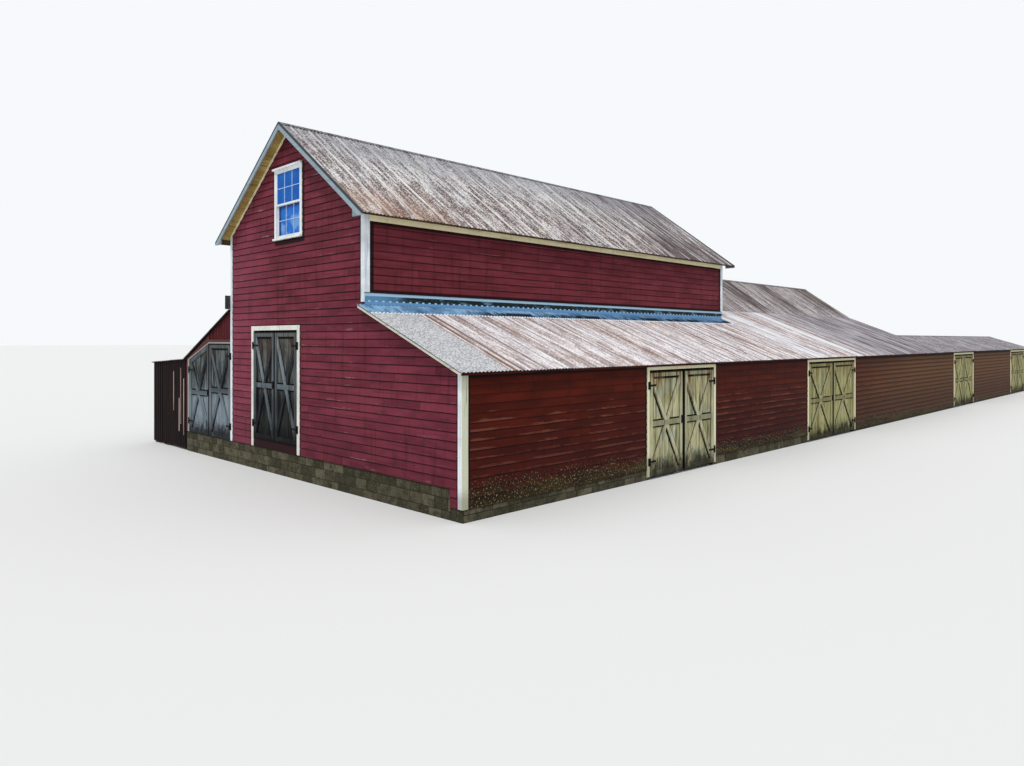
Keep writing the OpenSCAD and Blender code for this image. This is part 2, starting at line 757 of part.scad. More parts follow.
module front_door_left() {
    color("slategray") place() at_front(front_door_x, front_sill_z, 1)
        leaf(front_leaf_w, front_leaf_h, 0);
}

module front_door_right() {
    color("slategray") place() at_front(front_door_x + front_door_w, front_sill_z, -1)
        leaf(front_leaf_w, front_leaf_h, 0);
}

module leanto_door_left() {
    color("lightslategray") place() at_front(leanto_door_x, foundation_h, 1)
        leaf(leanto_leaf_w, leanto_clip_h, leanto_clip_drop);
}

module leanto_door_right() {
    color("lightslategray") place() at_front(leanto_door_end, foundation_h, -1)
        leaf(leanto_leaf_w, leanto_leaf_h, 0);
}

module side_leaf(i, side) {
    jambs = side_doors[i];
    color("darkkhaki") place() at_side(side > 0 ? jambs[0] : jambs[1], side)
        leaf((jambs[1] - jambs[0] - side_meet_gap) / 2 - leaf_gap, side_leaf_h, 0);
}

module window_frame() {
    x0 = window_x - window_w / 2 - window_casing_w;
    x1 = window_x + window_w / 2 + window_casing_w;
    top = window_z + window_h + window_casing_w;
    color("white") place() {
        along_y(-trim_t, 0) difference() {
            translate([x0, window_z - sill_h]) square([x1 - x0, top - window_z + sill_h]);
            window_outline(-liner_t);
        }
        along_y(0, wall_t) difference() {
            window_outline(0);
            window_outline(-liner_t);
        }
        block([x0, -sill_out, window_z - sill_h], [x1, -trim_t, window_z]);
        block([x0 - cap_out, -sill_out, top - sill_h], [x1 + cap_out, -trim_t, top]);
    }
}

// Outline of one sash, or of its glass where it is inset
module sash_outline(z0, z1, inset) {
    x0 = window_x - window_w / 2 + liner_t;
    translate([x0 + inset, z0 + inset])
        square([window_w - 2 * liner_t - 2 * inset, z1 - z0 - 2 * inset]);
}

// Draws an outline for both sashes
module each_sash(inset, t) {
    y = sash_y + (sash_t - t) / 2;
    along_y(y, y + t) sash_outline(sash_mid - sash_w / 2, sash_high, inset);
    along_y(y + sash_t + sheet_t, y + sash_t + sheet_t + t)
        sash_outline(sash_low, sash_mid + sash_w / 2, inset);
}

module window_sashes() {
    color("white") place() difference() {
        each_sash(0, sash_t);
        each_sash(sash_w, sash_t + sheet_t / 2);
    }
}

module window_glass() {
    color("lightskyblue") place() each_sash(sash_w, glass_t);
}

stone_foundation();
front_wall_beside_door();
front_wall_under_door();
front_gable_wall();
aisle_front_wall();
leanto_front_wall();
right_side_wall();
right_wall_plates();
left_side_wall();
clerestory_walls();
tall_rear_gable_wall();
rear_gable_wall();
wing_left_wall();
wing_rear_wall();
shed_boards();
frame_posts();
frame_girders();
loft_floor();
tall_roof();
right_lower_roof();
left_lower_roof();
nave_roof();
wing_roof();
shed_roof();
ridge_caps();
wall_flashings();
corner_boards();
frieze_boards();
bargeboards();
door_casings();
window_frame();
window_sashes();
window_glass();
front_door_left();
front_door_right();
leanto_door_left();
leanto_door_right();
side_leaf(0, 1);  // side_door_1_left
side_leaf(0, -1);  // side_door_1_right
side_leaf(1, 1);  // side_door_2_left
side_leaf(1, -1);  // side_door_2_right
side_leaf(2, 1);  // side_door_3_left
side_leaf(2, -1);  // side_door_3_right
side_leaf(3, 1);  // side_door_4_left
side_leaf(3, -1);  // side_door_4_right
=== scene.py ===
# Red timber barn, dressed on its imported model. Metres, in the model's own frame:
# x to the right seen from the front, y back along the barn, z up from the ground.
import math
import random

import bpy
import numpy as np
from mathutils import Matrix, Vector


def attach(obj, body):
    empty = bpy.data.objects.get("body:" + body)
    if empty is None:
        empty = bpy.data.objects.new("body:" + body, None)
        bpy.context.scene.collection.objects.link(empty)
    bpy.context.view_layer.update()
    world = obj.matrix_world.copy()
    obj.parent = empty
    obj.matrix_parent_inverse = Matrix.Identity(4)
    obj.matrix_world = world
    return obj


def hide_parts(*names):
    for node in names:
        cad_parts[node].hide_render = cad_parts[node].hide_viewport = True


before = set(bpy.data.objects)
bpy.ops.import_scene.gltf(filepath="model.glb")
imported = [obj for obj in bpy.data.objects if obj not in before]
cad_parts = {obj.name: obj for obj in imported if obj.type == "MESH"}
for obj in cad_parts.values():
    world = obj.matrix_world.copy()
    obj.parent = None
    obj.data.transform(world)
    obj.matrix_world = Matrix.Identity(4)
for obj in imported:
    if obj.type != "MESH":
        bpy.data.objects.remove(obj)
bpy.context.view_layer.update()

# Viewpoint, light and floor. The camera stands where the photograph was taken, a low
# sun comes over the viewer's right shoulder through a pale even sky, and the barn
# stands on a plain pale floor that goes on to the horizon.
bpy.ops.object.select_all(action="DESELECT")
bpy.ops.object.camera_add(location=(13.86738, -26.65825, 2.63218))
viewpoint = bpy.context.object
viewpoint.name = "viewpoint"
viewpoint.data.lens = 25.771
viewpoint.data.shift_y = -0.04226
viewpoint.data.clip_end = 1200
heading = Matrix.Rotation(math.radians(44.757), 4, "Z")
level = Matrix.Rotation(math.radians(90), 4, "X")
roll = Matrix.Rotation(math.radians(0.03), 4, "Z")
viewpoint.rotation_euler = (heading @ level @ roll).to_euler()
bpy.context.scene.camera = viewpoint
bpy.context.scene.view_settings.view_transform = "Standard"

bpy.ops.object.light_add(type="SUN")
sun = bpy.context.object
sun.name = "sun"
sun.data.energy = 1.5
sun.data.angle = math.radians(9)
sun.rotation_euler = Vector((0.35, -0.45, 0.82)).to_track_quat("Z", "Y").to_euler()


class Value:
    """What a node gives out. Sums, products and mixes of values add more nodes;
    a | b is the greater of two values and a & b the lesser."""

    def __init__(self, brush, socket):
        self.brush, self.socket = brush, socket

    def __add__(self, other):
        return self.brush.math("ADD", self, other)

    def __sub__(self, other):
        return self.brush.math("SUBTRACT", self, other)

    def __rsub__(self, other):
        return self.brush.math("SUBTRACT", other, self)

    def __mul__(self, other):
        return self.brush.math("MULTIPLY", self, other)

    def __mod__(self, other):
        return self.brush.math("MODULO", self, other)

    def __or__(self, other):
        return self.brush.math("MAXIMUM", self, other)

    def __and__(self, other):
        return self.brush.math("MINIMUM", self, other)

    def __abs__(self):
        return self.brush.math("ABSOLUTE", self)

    def fade(self, start, end, at_end=1.0, at_start=0.0):
        """Goes softly from one value to another while this one goes from start to end."""
        inputs = {0: self, 1: start, 2: end, 3: at_start, 4: at_end}
        return self.brush.node("MapRange", inputs, interpolation_type="SMOOTHSTEP")[0]

    def mix(self, first, second):
        """The first colour where this value is 0, the second where it is 1."""
        return self.brush.node("Mix", {0: self, 6: first, 7: second}, data_type="RGBA")[2]

    def coat(self, amount, colour):
        """Lays so much of a colour over this one."""
        return amount.mix(self, colour)


class Brush:
    """Adds nodes to one finish."""

    def __init__(self, tree):
        self.tree = tree

    def plug(self, value, socket):
        if isinstance(value, Value):
            self.tree.links.new(value.socket, socket)
        else:
            socket.default_value = value

    def node(self, kind, inputs=None, **settings):
        """Adds a node and gives what comes out of it, by number and by name."""
        made = self.tree.nodes.new(kind if kind.startswith("Node") else "ShaderNode" + kind)
        for key, value in settings.items():
            setattr(made, key, value)
        for key, value in (inputs or {}).items():
            self.plug(value, made.inputs[key])
        outs = [Value(self, socket) for socket in made.outputs]
        return {**dict(enumerate(outs)), **{out.socket.name: out for out in outs}}

    def math(self, how, first, second=0.0):
        return self.node("Math", {0: first, 1: second}, operation=how)[0]

    def noise(self, vector, scale, detail=3.0, rough=0.55):
        inputs = {"Vector": vector, "Scale": scale, "Detail": detail, "Roughness": rough}
        return self.node("TexNoise", inputs)[0]

    def streaks(self, x, y, z, detail=3.0, rough=0.55):
        return self.noise(self.node("CombineXYZ", {0: x, 1: y, 2: z})[0], 1.0, detail, rough)


def rgb(red, green, blue):
    """A colour read off the barn, 0 to 255, as the shader takes it."""
    shares = [v / 255 for v in (red, green, blue)]
    return (*[((v + 0.055) / 1.055) ** 2.4 if v > 0.04 else v / 12.92 for v in shares], 1.0)


def blend(first, second, share):
    """A colour so far on the way from one colour to another."""
    return tuple(a + (b - a) * share for a, b in zip(first, second))


sky = bpy.data.worlds.new("pale_sky")
bpy.context.scene.world = sky
sky.use_nodes = True
sky.node_tree.nodes.clear()
brush = Brush(sky.node_tree)
rays = brush.node("LightPath")
seen = rays["Is Camera Ray"] | rays["Is Glossy Ray"] | rays["Is Transmission Ray"]
lit = brush.node("Background", {"Color": (0.97, 0.985, 1.0, 1.0), "Strength": 0.7})[0]
white = brush.node("Background", {"Color": (0.93, 0.95, 0.97, 1.0), "Strength": 1.0})[0]
brush.node("OutputWorld", {"Surface": brush.node("MixShader", {0: seen, 1: lit, 2: white})[0]})

bpy.ops.mesh.primitive_plane_add(size=700, location=(0, 0, 0))
ground = bpy.context.object
ground.name = "floor"
floor_paint = bpy.data.materials.new("pale_floor")
floor_paint.use_nodes = True
floor_shader = floor_paint.node_tree.nodes["Principled BSDF"].inputs
floor_shader["Base Color"].default_value = (0.80, 0.80, 0.79, 1)
floor_shader["Roughness"].default_value = 0.95
ground.data.materials.append(floor_paint)

# Lap siding. Thin tapered pine boards, nailed in level courses with each one lapping
# the one below by a finger's width, painted red and long weathered. The courses run
# right round the barn at the same heights, 135 mm apart.
MID_X, MID_Y = 1.4625, 19.7275
TALL_W, RIGHT_X, LEFT_X = 5.01, 7.47, -2.45
TALL_L, BARN_L, TOTAL_L = 11.83, 23.2, 39.55
RIDGE_X, KNEE_R = 2.505, 4.295
WING_X, WING_RIDGE_X = 3.96, 5.715
ROOF_DROP = 0.0655
LAP, COVER, LAP_FOOT, SIDING_T = 0.135, 0.02, 0.083, 0.015
STOCK_LENGTHS = (3.05, 3.66, 3.66, 4.27, 4.88)
STONE_FOOT, CORNER_FOOT, SILL_FOOT = 0.471, 0.201, 0.061
TALL_PITCH, NAVE_PITCH, LOWER_PITCH, LEANTO_PITCH, WING_PITCH = (
    math.tan(math.radians(a)) for a in (36, 34.5, 22, 24, 18.5))
TALL_EAVE_Z, EAVE_Z, LEANTO_TOP_Z = 4.915, 2.235, 3.305
TOP_WALL_Z = EAVE_Z + (RIGHT_X - TALL_W) * LOWER_PITCH
KNEE_Z = EAVE_Z + (RIGHT_X - KNEE_R) * LOWER_PITCH
TALL_RIDGE_Z = TALL_EAVE_Z + RIDGE_X * TALL_PITCH
NAVE_RIDGE_Z = KNEE_Z + (KNEE_R - RIDGE_X) * NAVE_PITCH
WING_RIDGE_Z = EAVE_Z + (RIGHT_X - WING_RIDGE_X) * WING_PITCH
KNEE_L = (LEANTO_TOP_Z - NAVE_RIDGE_Z + RIDGE_X * NAVE_PITCH) / (NAVE_PITCH - LEANTO_PITCH)
KNEE_L_Z = LEANTO_TOP_Z + KNEE_L * LEANTO_PITCH
LEANTO_EAVE_Z = LEANTO_TOP_Z + LEFT_X * LEANTO_PITCH
SIDE_DOORS = [(4.64, 7.01), (11.82, 14.95), (25.38, 28.17), (35.29, 38.34)]
FRONT_DOOR = (1.045, 2.805, 0.64, 2.815)
WINDOW = (1.99, 2.92, 4.59, 5.89)
dice = random.Random(7)


def place(x, y, z):
    """A point measured from the tall block's left front corner, in the model's frame."""
    return Vector((x - MID_X, y - MID_Y, z))


def only(piece):
    """Makes this piece the one that the next operators work on."""
    bpy.ops.object.select_all(action="DESELECT")
    piece.select_set(True)
    bpy.context.view_layer.objects.active = piece


def block(middle, size, tip=0.0):
    """A box to be added, by its middle and size."""
    return bpy.ops.mesh.primitive_cube_add, {
        "size": 1, "location": middle, "scale": size, "rotation": (0, tip, 0)}


def extend(piece, solids):
    """Adds more solids to a piece."""
    only(piece)
    bpy.ops.object.mode_set(mode="EDIT")
    for add, measures in solids:
        add(**measures)
    bpy.ops.object.mode_set(mode="OBJECT")


def assemble(name, solids):
    """One piece made of several solids."""
    bpy.ops.object.select_all(action="DESELECT")
    add, measures = solids[0]
    add(**measures)
    piece = bpy.context.object
    piece.name = piece.data.name = name
    bpy.ops.object.transform_apply(location=True, rotation=True, scale=True)
    extend(piece, solids[1:])
    return piece


def places_of(piece):
    """Where the piece's points are, a row of x, y and z for each."""
    places = np.empty(len(piece.data.vertices) * 3)
    piece.data.vertices.foreach_get("co", places)
    return places.reshape(-1, 3)


def mark_points(piece, label, values):
    """Gives every point of the piece a number for its paint to read."""
    piece.data.attributes.new(label, "FLOAT", "POINT").data.foreach_set("value", values)


def add_boards(name, boards):
    """Boards by their low and high corners, as one piece; each has a tone of its own."""
    piece = assemble(name, [block([(a + b) / 2 for a, b in zip(low, high)],
                                  [b - a for a, b in zip(low, high)]) for low, high in boards])
    mark_points(piece, "tone", np.repeat([dice.random() for _ in boards], 8))
    reach = places_of(piece).reshape(-1, 8, 3)
    for label, axis in (("rise", 2), ("side", 0)):
        far = reach[..., axis] > reach[..., axis].mean(axis=1, keepdims=True)
        mark_points(piece, label, far.ravel().astype(float))
    return piece


def press(piece, kind, **settings):
    """Adds a modifier to the piece and applies it."""
    only(piece)
    modifier = piece.modifiers.new(kind.lower(), kind)
    for key, value in settings.items():
        setattr(modifier, key, value)
    bpy.ops.object.modifier_apply(modifier=modifier.name)


clouds = bpy.data.textures.new("slow_waves", "CLOUDS")
clouds.noise_scale = 0.9
clouds.noise_depth = 1


def waver(piece, way, strength):
    """Moves the piece's points one way and the other, in slow waves."""
    press(piece, "DISPLACE", texture=clouds, direction=way, strength=strength, mid_level=0.5)


def score(piece, axis, cuts):
    """Cuts the piece across in places along an axis, so that it can bend there."""
    only(piece)
    bpy.ops.object.mode_set(mode="EDIT")
    for cut in cuts:
        bpy.ops.mesh.select_all(action="SELECT")
        bpy.ops.mesh.bisect(plane_co=axis * cut, plane_no=axis)
    bpy.ops.object.mode_set(mode="OBJECT")


def trim_off(piece, point, outward):
    """Saws off what stands out past a plane."""
    only(piece)
    bpy.ops.object.mode_set(mode="EDIT")
    bpy.ops.mesh.select_all(action="SELECT")
    bpy.ops.mesh.bisect(plane_co=point, plane_no=outward, use_fill=True, clear_outer=True)
    bpy.ops.object.mode_set(mode="OBJECT")


def settle(piece, matrix):
    """Moves the piece and keeps the move in its mesh."""
    only(piece)
    piece.matrix_world = matrix
    bpy.ops.object.transform_apply(location=True, rotation=True, scale=True)


def standing(corner, turn=0.0):
    """Where a piece goes that is turned about the vertical and moved to its corner."""
    return Matrix.Translation(place(*corner)) @ Matrix.Rotation(math.radians(turn), 4, "Z")


def finish_piece(piece, paint, slot, *stands_for, body="barn"):
    """Paints the piece, and lets it ride on its body and stand for its solids."""
    piece.data.materials.clear()
    piece.data.materials.append(paint)
    if stands_for:
        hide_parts(*stands_for)
    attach(piece, body)


def put_up(name, boards, paint, slot, *stands_for, corner=(0, 0, 0), turn=0.0, cuts=()):
    """Boards made, set in place, sawn to their lines and painted, as one piece."""
    piece = add_boards(name, boards)
    settle(piece, standing(corner, turn))
    for point, outward in cuts:
        trim_off(piece, point, outward)
    finish_piece(piece, paint, slot, *stands_for)


def without(rects, hole):
    """The board lengths left when a hole is cut in them; all by start, end, foot and top."""
    a, b, foot, top = hole
    left = []
    for x0, x1, z0, z1 in rects:
        if b <= x0 or a >= x1 or top <= z0 or foot >= z1:
            left.append((x0, x1, z0, z1))
            continue
        if x0 < a:
            left.append((x0, a, z0, z1))
        if b < x1:
            left.append((b, x1, z0, z1))
        if z0 < foot:
            left.append((max(x0, a), min(x1, b), z0, foot))
        if top < z1:
            left.append((max(x0, a), min(x1, b), top, z1))
    return left


def siding_courses(start, end, foot, top, hole=None):
    """Boards of the level courses between two heights, with staggered joints."""
    boards = []
    course = math.floor((foot - LAP_FOOT) / LAP)
    while LAP_FOOT + course * LAP < top:
        low = max(foot, LAP_FOOT + course * LAP)
        high = LAP_FOOT + (course + 1) * LAP + COVER
        joint = start - dice.uniform(0.3, 3.5)
        rects = []
        while joint < end:
            after = joint + dice.choice(STOCK_LENGTHS)
            if min(after, end) - max(joint, start) > 0.05:
                rects.append((max(joint, start), min(after, end) - 0.002, low, high))
            joint = after
        if hole:
            rects = without(rects, hole)
        boards += [((x0, -SIDING_T, z0), (x1, 0, z1)) for x0, x1, z0, z1 in rects
                   if x1 - x0 > 0.01 and z1 - z0 > 0.012]
        course += 1
    return boards


def lay_siding(name, boards, corner, turn, cuts, sag):
    """Tapers the boards of one wall, lets them sag a little and nails them to the wall."""
    piece = add_boards(name, boards)
    places = places_of(piece).reshape(-1, 8, 3)
    middle = places.mean(axis=1, keepdims=True)
    thin = (places[..., 1] < middle[..., 1]) & (places[..., 2] > middle[..., 2])
    places[..., 1] += np.where(thin, 0.8 * SIDING_T, 0.0)
    piece.data.vertices.foreach_set("co", places.ravel())
    piece.data.update()
    step = 0.55
    count = int(places[..., 0].max() / step)
    score(piece, Vector((1, 0, 0)), [i * step for i in range(1, count + 1)])
    waver(piece, "Z", sag)
    waver(piece, "Y", 0.006)
    settle(piece, standing(corner, turn))
    for point, outward in cuts:
        trim_off(piece, point, outward)
    return piece


def under(x, z, pitch):
    """A cut along a roof's underside through (x, z), which falls to the right."""
    return place(x, 0, z - ROOF_DROP), Vector((pitch, 0, 1)).normalized()


def under_both(x, z, pitch):
    """Cuts along the undersides of both slopes from a ridge."""
    return [under(x, z, pitch), under(x, z, -pitch)]


def level_cut(z):
    """A level cut at a height."""
    return [(place(0, 0, z), Vector((0, 0, 1)))]


def kit(name, given, handed):
    """A shared effect, empty as yet: its node tree, its brush and what it is given."""
    tree = bpy.data.node_groups.new(name, "ShaderNodeTree")
    for way, labels in (("INPUT", given), ("OUTPUT", handed)):
        for label in labels:
            tree.interface.new_socket(name=label, in_out=way, socket_type="NodeSocketFloat")
    brush = Brush(tree)
    return tree, brush, brush.node("NodeGroupInput")


# Shared effects of old paint and timber: "Along" runs with the boards' grain.
grain_kit, brush, given = kit("board_grain", ("Along", "Across", "Tone"),
                              ("Grain", "Blotch", "Checks"))
along, across, shift = given["Along"], given["Across"], given["Tone"] * 37.0
brush.node("NodeGroupOutput", {
    "Grain": brush.streaks(along * 2.2, across * 75.0, shift, 4.0, 0.6),
    "Blotch": brush.streaks(along * 1.1, across * 3.5, shift),
    "Checks": brush.streaks(along * 0.9, across * 38.0, shift, 2.0).fade(0.62, 0.68)})

weather_kit, brush, given = kit("weathering", ("Run", "Up"), ("Runs", "Patches", "Specks"))
run, up = given["Run"], given["Up"]
brush.node("NodeGroupOutput", {
    "Runs": brush.streaks(run * 9.0, up * 0.7, 3.0, 4.0, 0.6),
    "Patches": brush.streaks(run * 1.4, up * 2.2, 8.0, 5.0, 0.65),
    "Specks": brush.streaks(run * 34.0, up * 30.0, 5.0, 2.0).fade(0.60, 0.66)})


class Finish(Brush):
    """A material in the making, with the place on the barn as x, y and z."""

    def __init__(self, name, rough, metal=0.0, gloss=0.12):
        self.paint = bpy.data.materials.new(name)
        self.paint.use_nodes = True
        super().__init__(self.paint.node_tree)
        self.shader = self.tree.nodes["Principled BSDF"].inputs
        for label, value in (("Roughness", rough), ("Metallic", metal),
                             ("Specular IOR Level", gloss)):
            self.shader[label].default_value = value
        self.spot = self.node("TexCoord")["Object"]
        self.x, self.y, self.z = self.parts(self.spot)
        self.back = self.y + MID_Y

    def parts(self, vector):
        made = self.node("SeparateXYZ", {0: vector})
        return made[0], made[1], made[2]

    def mark(self, label):
        """A number that the points of the piece carry."""
        return self.node("Attribute", attribute_name=label)["Fac"]

    def worn(self, way, tone):
        """Grain and weathering of boards that go up, along the wall or back along the barn."""
        run = self.x + self.y
        along, across = {"up": (self.z, run), "run": (run, self.z), "back": (self.y, self.x)}[way]
        inputs = {"Along": along, "Across": across, "Tone": tone}
        grain = self.node("Group", inputs, node_tree=grain_kit)
        return grain, self.node("Group", {"Run": run, "Up": self.z}, node_tree=weather_kit)

    def lay(self, colour, height, strength, distance):
        """Puts the mixed colour, and the relief under it, on the shader."""
        self.plug(colour, self.shader["Base Color"])
        inputs = {"Strength": strength, "Distance": distance, "Height": height}
        self.plug(self.node("Bump", inputs)[0], self.shader["Normal"])
        return self.paint


def siding_paint(name, deep, fresh, bare, wear, grime, shades, way="y", belt=None, moss=None,
                 rakes=(), foot=0.2, painted_glow=None):
    """Red siding paint: worn pale on the faces, painted shadow in the corners, mossy at the foot.
    """
    brush = Finish(name, 0.75)
    y, z, tone = brush.y, brush.z, brush.mark("tone")
    lap = brush.mark("rise") * ((LAP + COVER) / LAP)
    level = brush.x + MID_X if way == "x" else brush.back
    grain, aged = brush.worn("run", tone)
    colour = grain["Blotch"].fade(0.35, 0.65).mix(deep, fresh)
    # Painted light: the wall grows paler and pinker towards its left end.
    if painted_glow:
        start, end, pink = painted_glow
        colour = colour.coat(level.fade(start, end, 0.32), pink)
    colour = colour.coat(tone.fade(0.0, 1.0, 0.22), deep)
    colour = colour.coat(aged["Runs"].fade(0.5, 0.72, 0.35), rgb(40, 12, 12))
    worn = aged["Patches"] * 0.62 + grain["Grain"] * 0.38 + lap.fade(0.55, 0.05, 0.10)
    # Painted shade under each lap: a dark band just below the edge of the board above.
    line = lap.fade(0.78, 0.93, grime)
    if belt:
        low, high, much = belt
        faded = z.fade(high + 0.3, high) * lap.fade(0.62, 0.15) * z.fade(low - 0.1, low + 0.1)
        worn += faded * much
    colour = colour.coat(worn.fade(0.70 - wear, 0.80 - wear), bare)
    if belt:
        colour = colour.coat((level - z * 2.0).fade(8.0, 18.0, 0.68), rgb(106, 76, 46))
        # On the aisle wall the painted lap shade fades out up high and grows wider low down past
        # the first door.
        line *= z.fade(high + 0.4, high - 0.1, 1.0, 0.25) | y.fade(-11.0, -13.5).fade(1.0, 0.0, 0.8)
        sunk = lap.fade(0.42, 0.84, 0.7) * level.fade(7.0, 7.3)
        line |= sunk * (z - level.fade(9.0, 15.0)).fade(1.7, 1.0, 1.0, 0.25)
    colour = colour.coat(line, rgb(20, 6, 8))
    colour = colour.coat(grain["Checks"] * 0.35, rgb(32, 10, 10))
    colour = colour.coat(z.fade(1.7, 0.3, foot), rgb(30, 6, 12))
    # Painted shadow along the foot, beside the trim and under the rakes.
    black = z.fade(0.2, 0.0, 0.4)
    for start, end, low, top, soft in shades:
        part = soft * 0.3
        box = level.fade(start - soft, start - part) * level.fade(end + soft, end + part)
        black |= box * z.fade(low - soft, low - part) * z.fade(top + soft, top + part)
    for rake_x, rake_z, pitch, deep_in in rakes:
        drop = rake_z - abs(level - rake_x) * pitch - z
        black |= drop.fade(deep_in + 0.05, deep_in + 0.01)
    colour = colour.coat(black * 0.88, rgb(12, 4, 6))
    if moss:
        edge, fall = moss
        over = z - (brush.back * -fall + edge) + aged["Specks"].fade(0.0, 1.0, -0.12)
        green = (over + aged["Patches"].fade(0.3, 0.7, 0.10, -0.10)).fade(0.14, -0.10)
        dirt = grain["Blotch"].fade(0.35, 0.65).mix(rgb(30, 22, 10), rgb(58, 50, 24))
        dirt = dirt.coat(aged["Specks"] * 0.8, rgb(150, 146, 116))
        colour = colour.coat(green * 0.85, dirt)
    return brush.lay(colour, grain["Grain"] + aged["Patches"], 0.35, 0.003)


# Painted shadow beside the trim and under the rakes: each shade by start, end, foot, top and
# softness, each rake by the x and z of its top, its pitch and its depth.
HIGH = 9.0
front_shades = [(1.95, 3.045, 4.475, 5.93, 0.03), (0.955, 2.91, 0.3, 2.905, 0.03),
                (-1.0, 0.06, 0.0, HIGH, 0.03), (4.90, 5.05, 3.27, HIGH, 0.03),
                (7.37, 8.0, 0.0, HIGH, 0.03)]
# Painted light on the left of the front walls: where it starts, where it is full, and its colour.
front_glow = (2.2, 0.5, rgb(156, 76, 98))
# The front's purple cast is partly a painted reflection of the sky.
front_red = siding_paint(
    "siding_front", rgb(96, 36, 50), rgb(122, 50, 66), rgb(140, 100, 108), 0.05, 0.85, front_shades,
    way="x", painted_glow=front_glow,
    rakes=[(TALL_W - HIGH, TOP_WALL_Z + HIGH * LOWER_PITCH, LOWER_PITCH, 0.12)])
gable_red = siding_paint(
    "siding_gable", rgb(95, 35, 48), rgb(121, 49, 64), rgb(140, 100, 108), 0.05, 0.88, front_shades,
    way="x", painted_glow=front_glow, rakes=[(RIDGE_X, TALL_RIDGE_Z, TALL_PITCH, 0.115)])
high_shades = [(-1.0, 0.145, 0.0, HIGH, 0.04), (TALL_L - 0.145, 13.0, 0.0, HIGH, 0.04),
               (-1.0, 13.0, 4.59, HIGH, 0.04), (-1.0, 13.0, 0.0, TOP_WALL_Z + 0.21, 0.05)]
high_red = siding_paint("siding_clerestory", rgb(94, 34, 42), rgb(114, 46, 56), rgb(128, 80, 84),
                        0.03, 0.65, high_shades)
side_shades = [(-1.0, 0.11, 0.0, HIGH, 0.03), (-1.0, 45.0, EAVE_Z - ROOF_DROP - 0.05, HIGH, 0.06)]
side_shades += [(start - 0.10, end + 0.10, -1.0, HIGH, 0.04) for start, end in SIDE_DOORS]
# The aisle wall's darker brown-red is partly painted shade.
side_red = siding_paint("siding_aisle", rgb(60, 10, 0), rgb(80, 20, 4), rgb(104, 54, 40), 0.0, 0.7,
                        side_shades, belt=(0.5, 1.35, 0.15), moss=(0.42, 0.010), foot=0.45)
back_red = siding_paint("siding_back", rgb(84, 30, 30), rgb(106, 42, 40), rgb(130, 88, 84), 0.06,
                        0.65, [], moss=(0.45, 0.006))

tall_cuts = under_both(RIDGE_X, TALL_RIDGE_Z, TALL_PITCH)
low_cuts = [under(RIGHT_X, EAVE_Z, LOWER_PITCH), under(LEFT_X, LEANTO_EAVE_Z, -LEANTO_PITCH)]
eave_cut = level_cut(EAVE_Z - ROOF_DROP)
starts = [0.0] + [end for start, end in SIDE_DOORS]
ends = [start for start, end in SIDE_DOORS] + [TOTAL_L]
feet = (CORNER_FOOT, CORNER_FOOT, SILL_FOOT, SILL_FOOT, SILL_FOOT)
side_spans = [(start, end, foot, EAVE_Z - ROOF_DROP)
              for start, end, foot in zip(starts, ends, feet)]
right_span, left_span = ((0.0, TALL_L, top_z + 0.185, 4.66) for top_z in (TOP_WALL_Z, LEANTO_TOP_Z))
# Each wall's corner, turn, cuts, sag, and the spans of its courses by start, end, foot and top.
for name, paint, corner, turn, cuts, sag, spans in (
        ("front_siding", front_red, (0, 0, 0), 0, [under(TALL_W, TOP_WALL_Z, LOWER_PITCH)], 0.004,
         [(0.0, RIGHT_X, STONE_FOOT, 3.18, FRONT_DOOR), (7.2, RIGHT_X, CORNER_FOOT, STONE_FOOT)]),
        ("gable_siding", gable_red, (0, 0, 0), 0, tall_cuts, 0.004,
         [(0.0, TALL_W, 3.189, 6.75, WINDOW)]),
        ("aisle_siding", side_red, (RIGHT_X, 0, 0), 90, eave_cut, 0.012, side_spans),
        ("clerestory_siding_right", high_red, (TALL_W, 0, 0), 90, level_cut(4.68), 0.005,
         [right_span]),
        ("clerestory_siding_left", high_red, (0, TALL_L, 0), -90, level_cut(4.68), 0.005,
         [left_span]),
        ("tall_rear_siding", back_red, (TALL_W, TALL_L, 0), 180, tall_cuts, 0.005,
         [(0.0, TALL_W, 3.12, 6.75)]),
        ("rear_siding", back_red, (RIGHT_X, BARN_L, 0), 180, low_cuts, 0.006,
         [(RIGHT_X - WING_X, RIGHT_X - LEFT_X, STONE_FOOT, KNEE_Z + 0.05),
          (0.0, RIGHT_X - WING_X, SILL_FOOT, KNEE_Z + 0.05)]),
        ("nave_gable_siding", back_red, (RIGHT_X, BARN_L, 0), 180,
         low_cuts + under_both(RIDGE_X, NAVE_RIDGE_Z, NAVE_PITCH), 0.005,
         [(RIGHT_X - KNEE_R - 0.3, RIGHT_X - KNEE_L + 0.3, 3.594, 4.8)]),
        ("wing_left_siding", back_red, (WING_X, TOTAL_L, 0), -90, eave_cut, 0.010,
         [(0.0, TOTAL_L - BARN_L, SILL_FOOT, EAVE_Z - ROOF_DROP)]),
        ("wing_rear_siding", back_red, (RIGHT_X, TOTAL_L, 0), 180,
         under_both(WING_RIDGE_X, WING_RIDGE_Z, WING_PITCH), 0.008,
         [(0.0, RIGHT_X - WING_X, SILL_FOOT, 2.8)])):
    boards = [board for span in spans for board in siding_courses(*span)]
    finish_piece(lay_siding(name, boards, corner, turn, cuts, sag), paint, "siding_red")


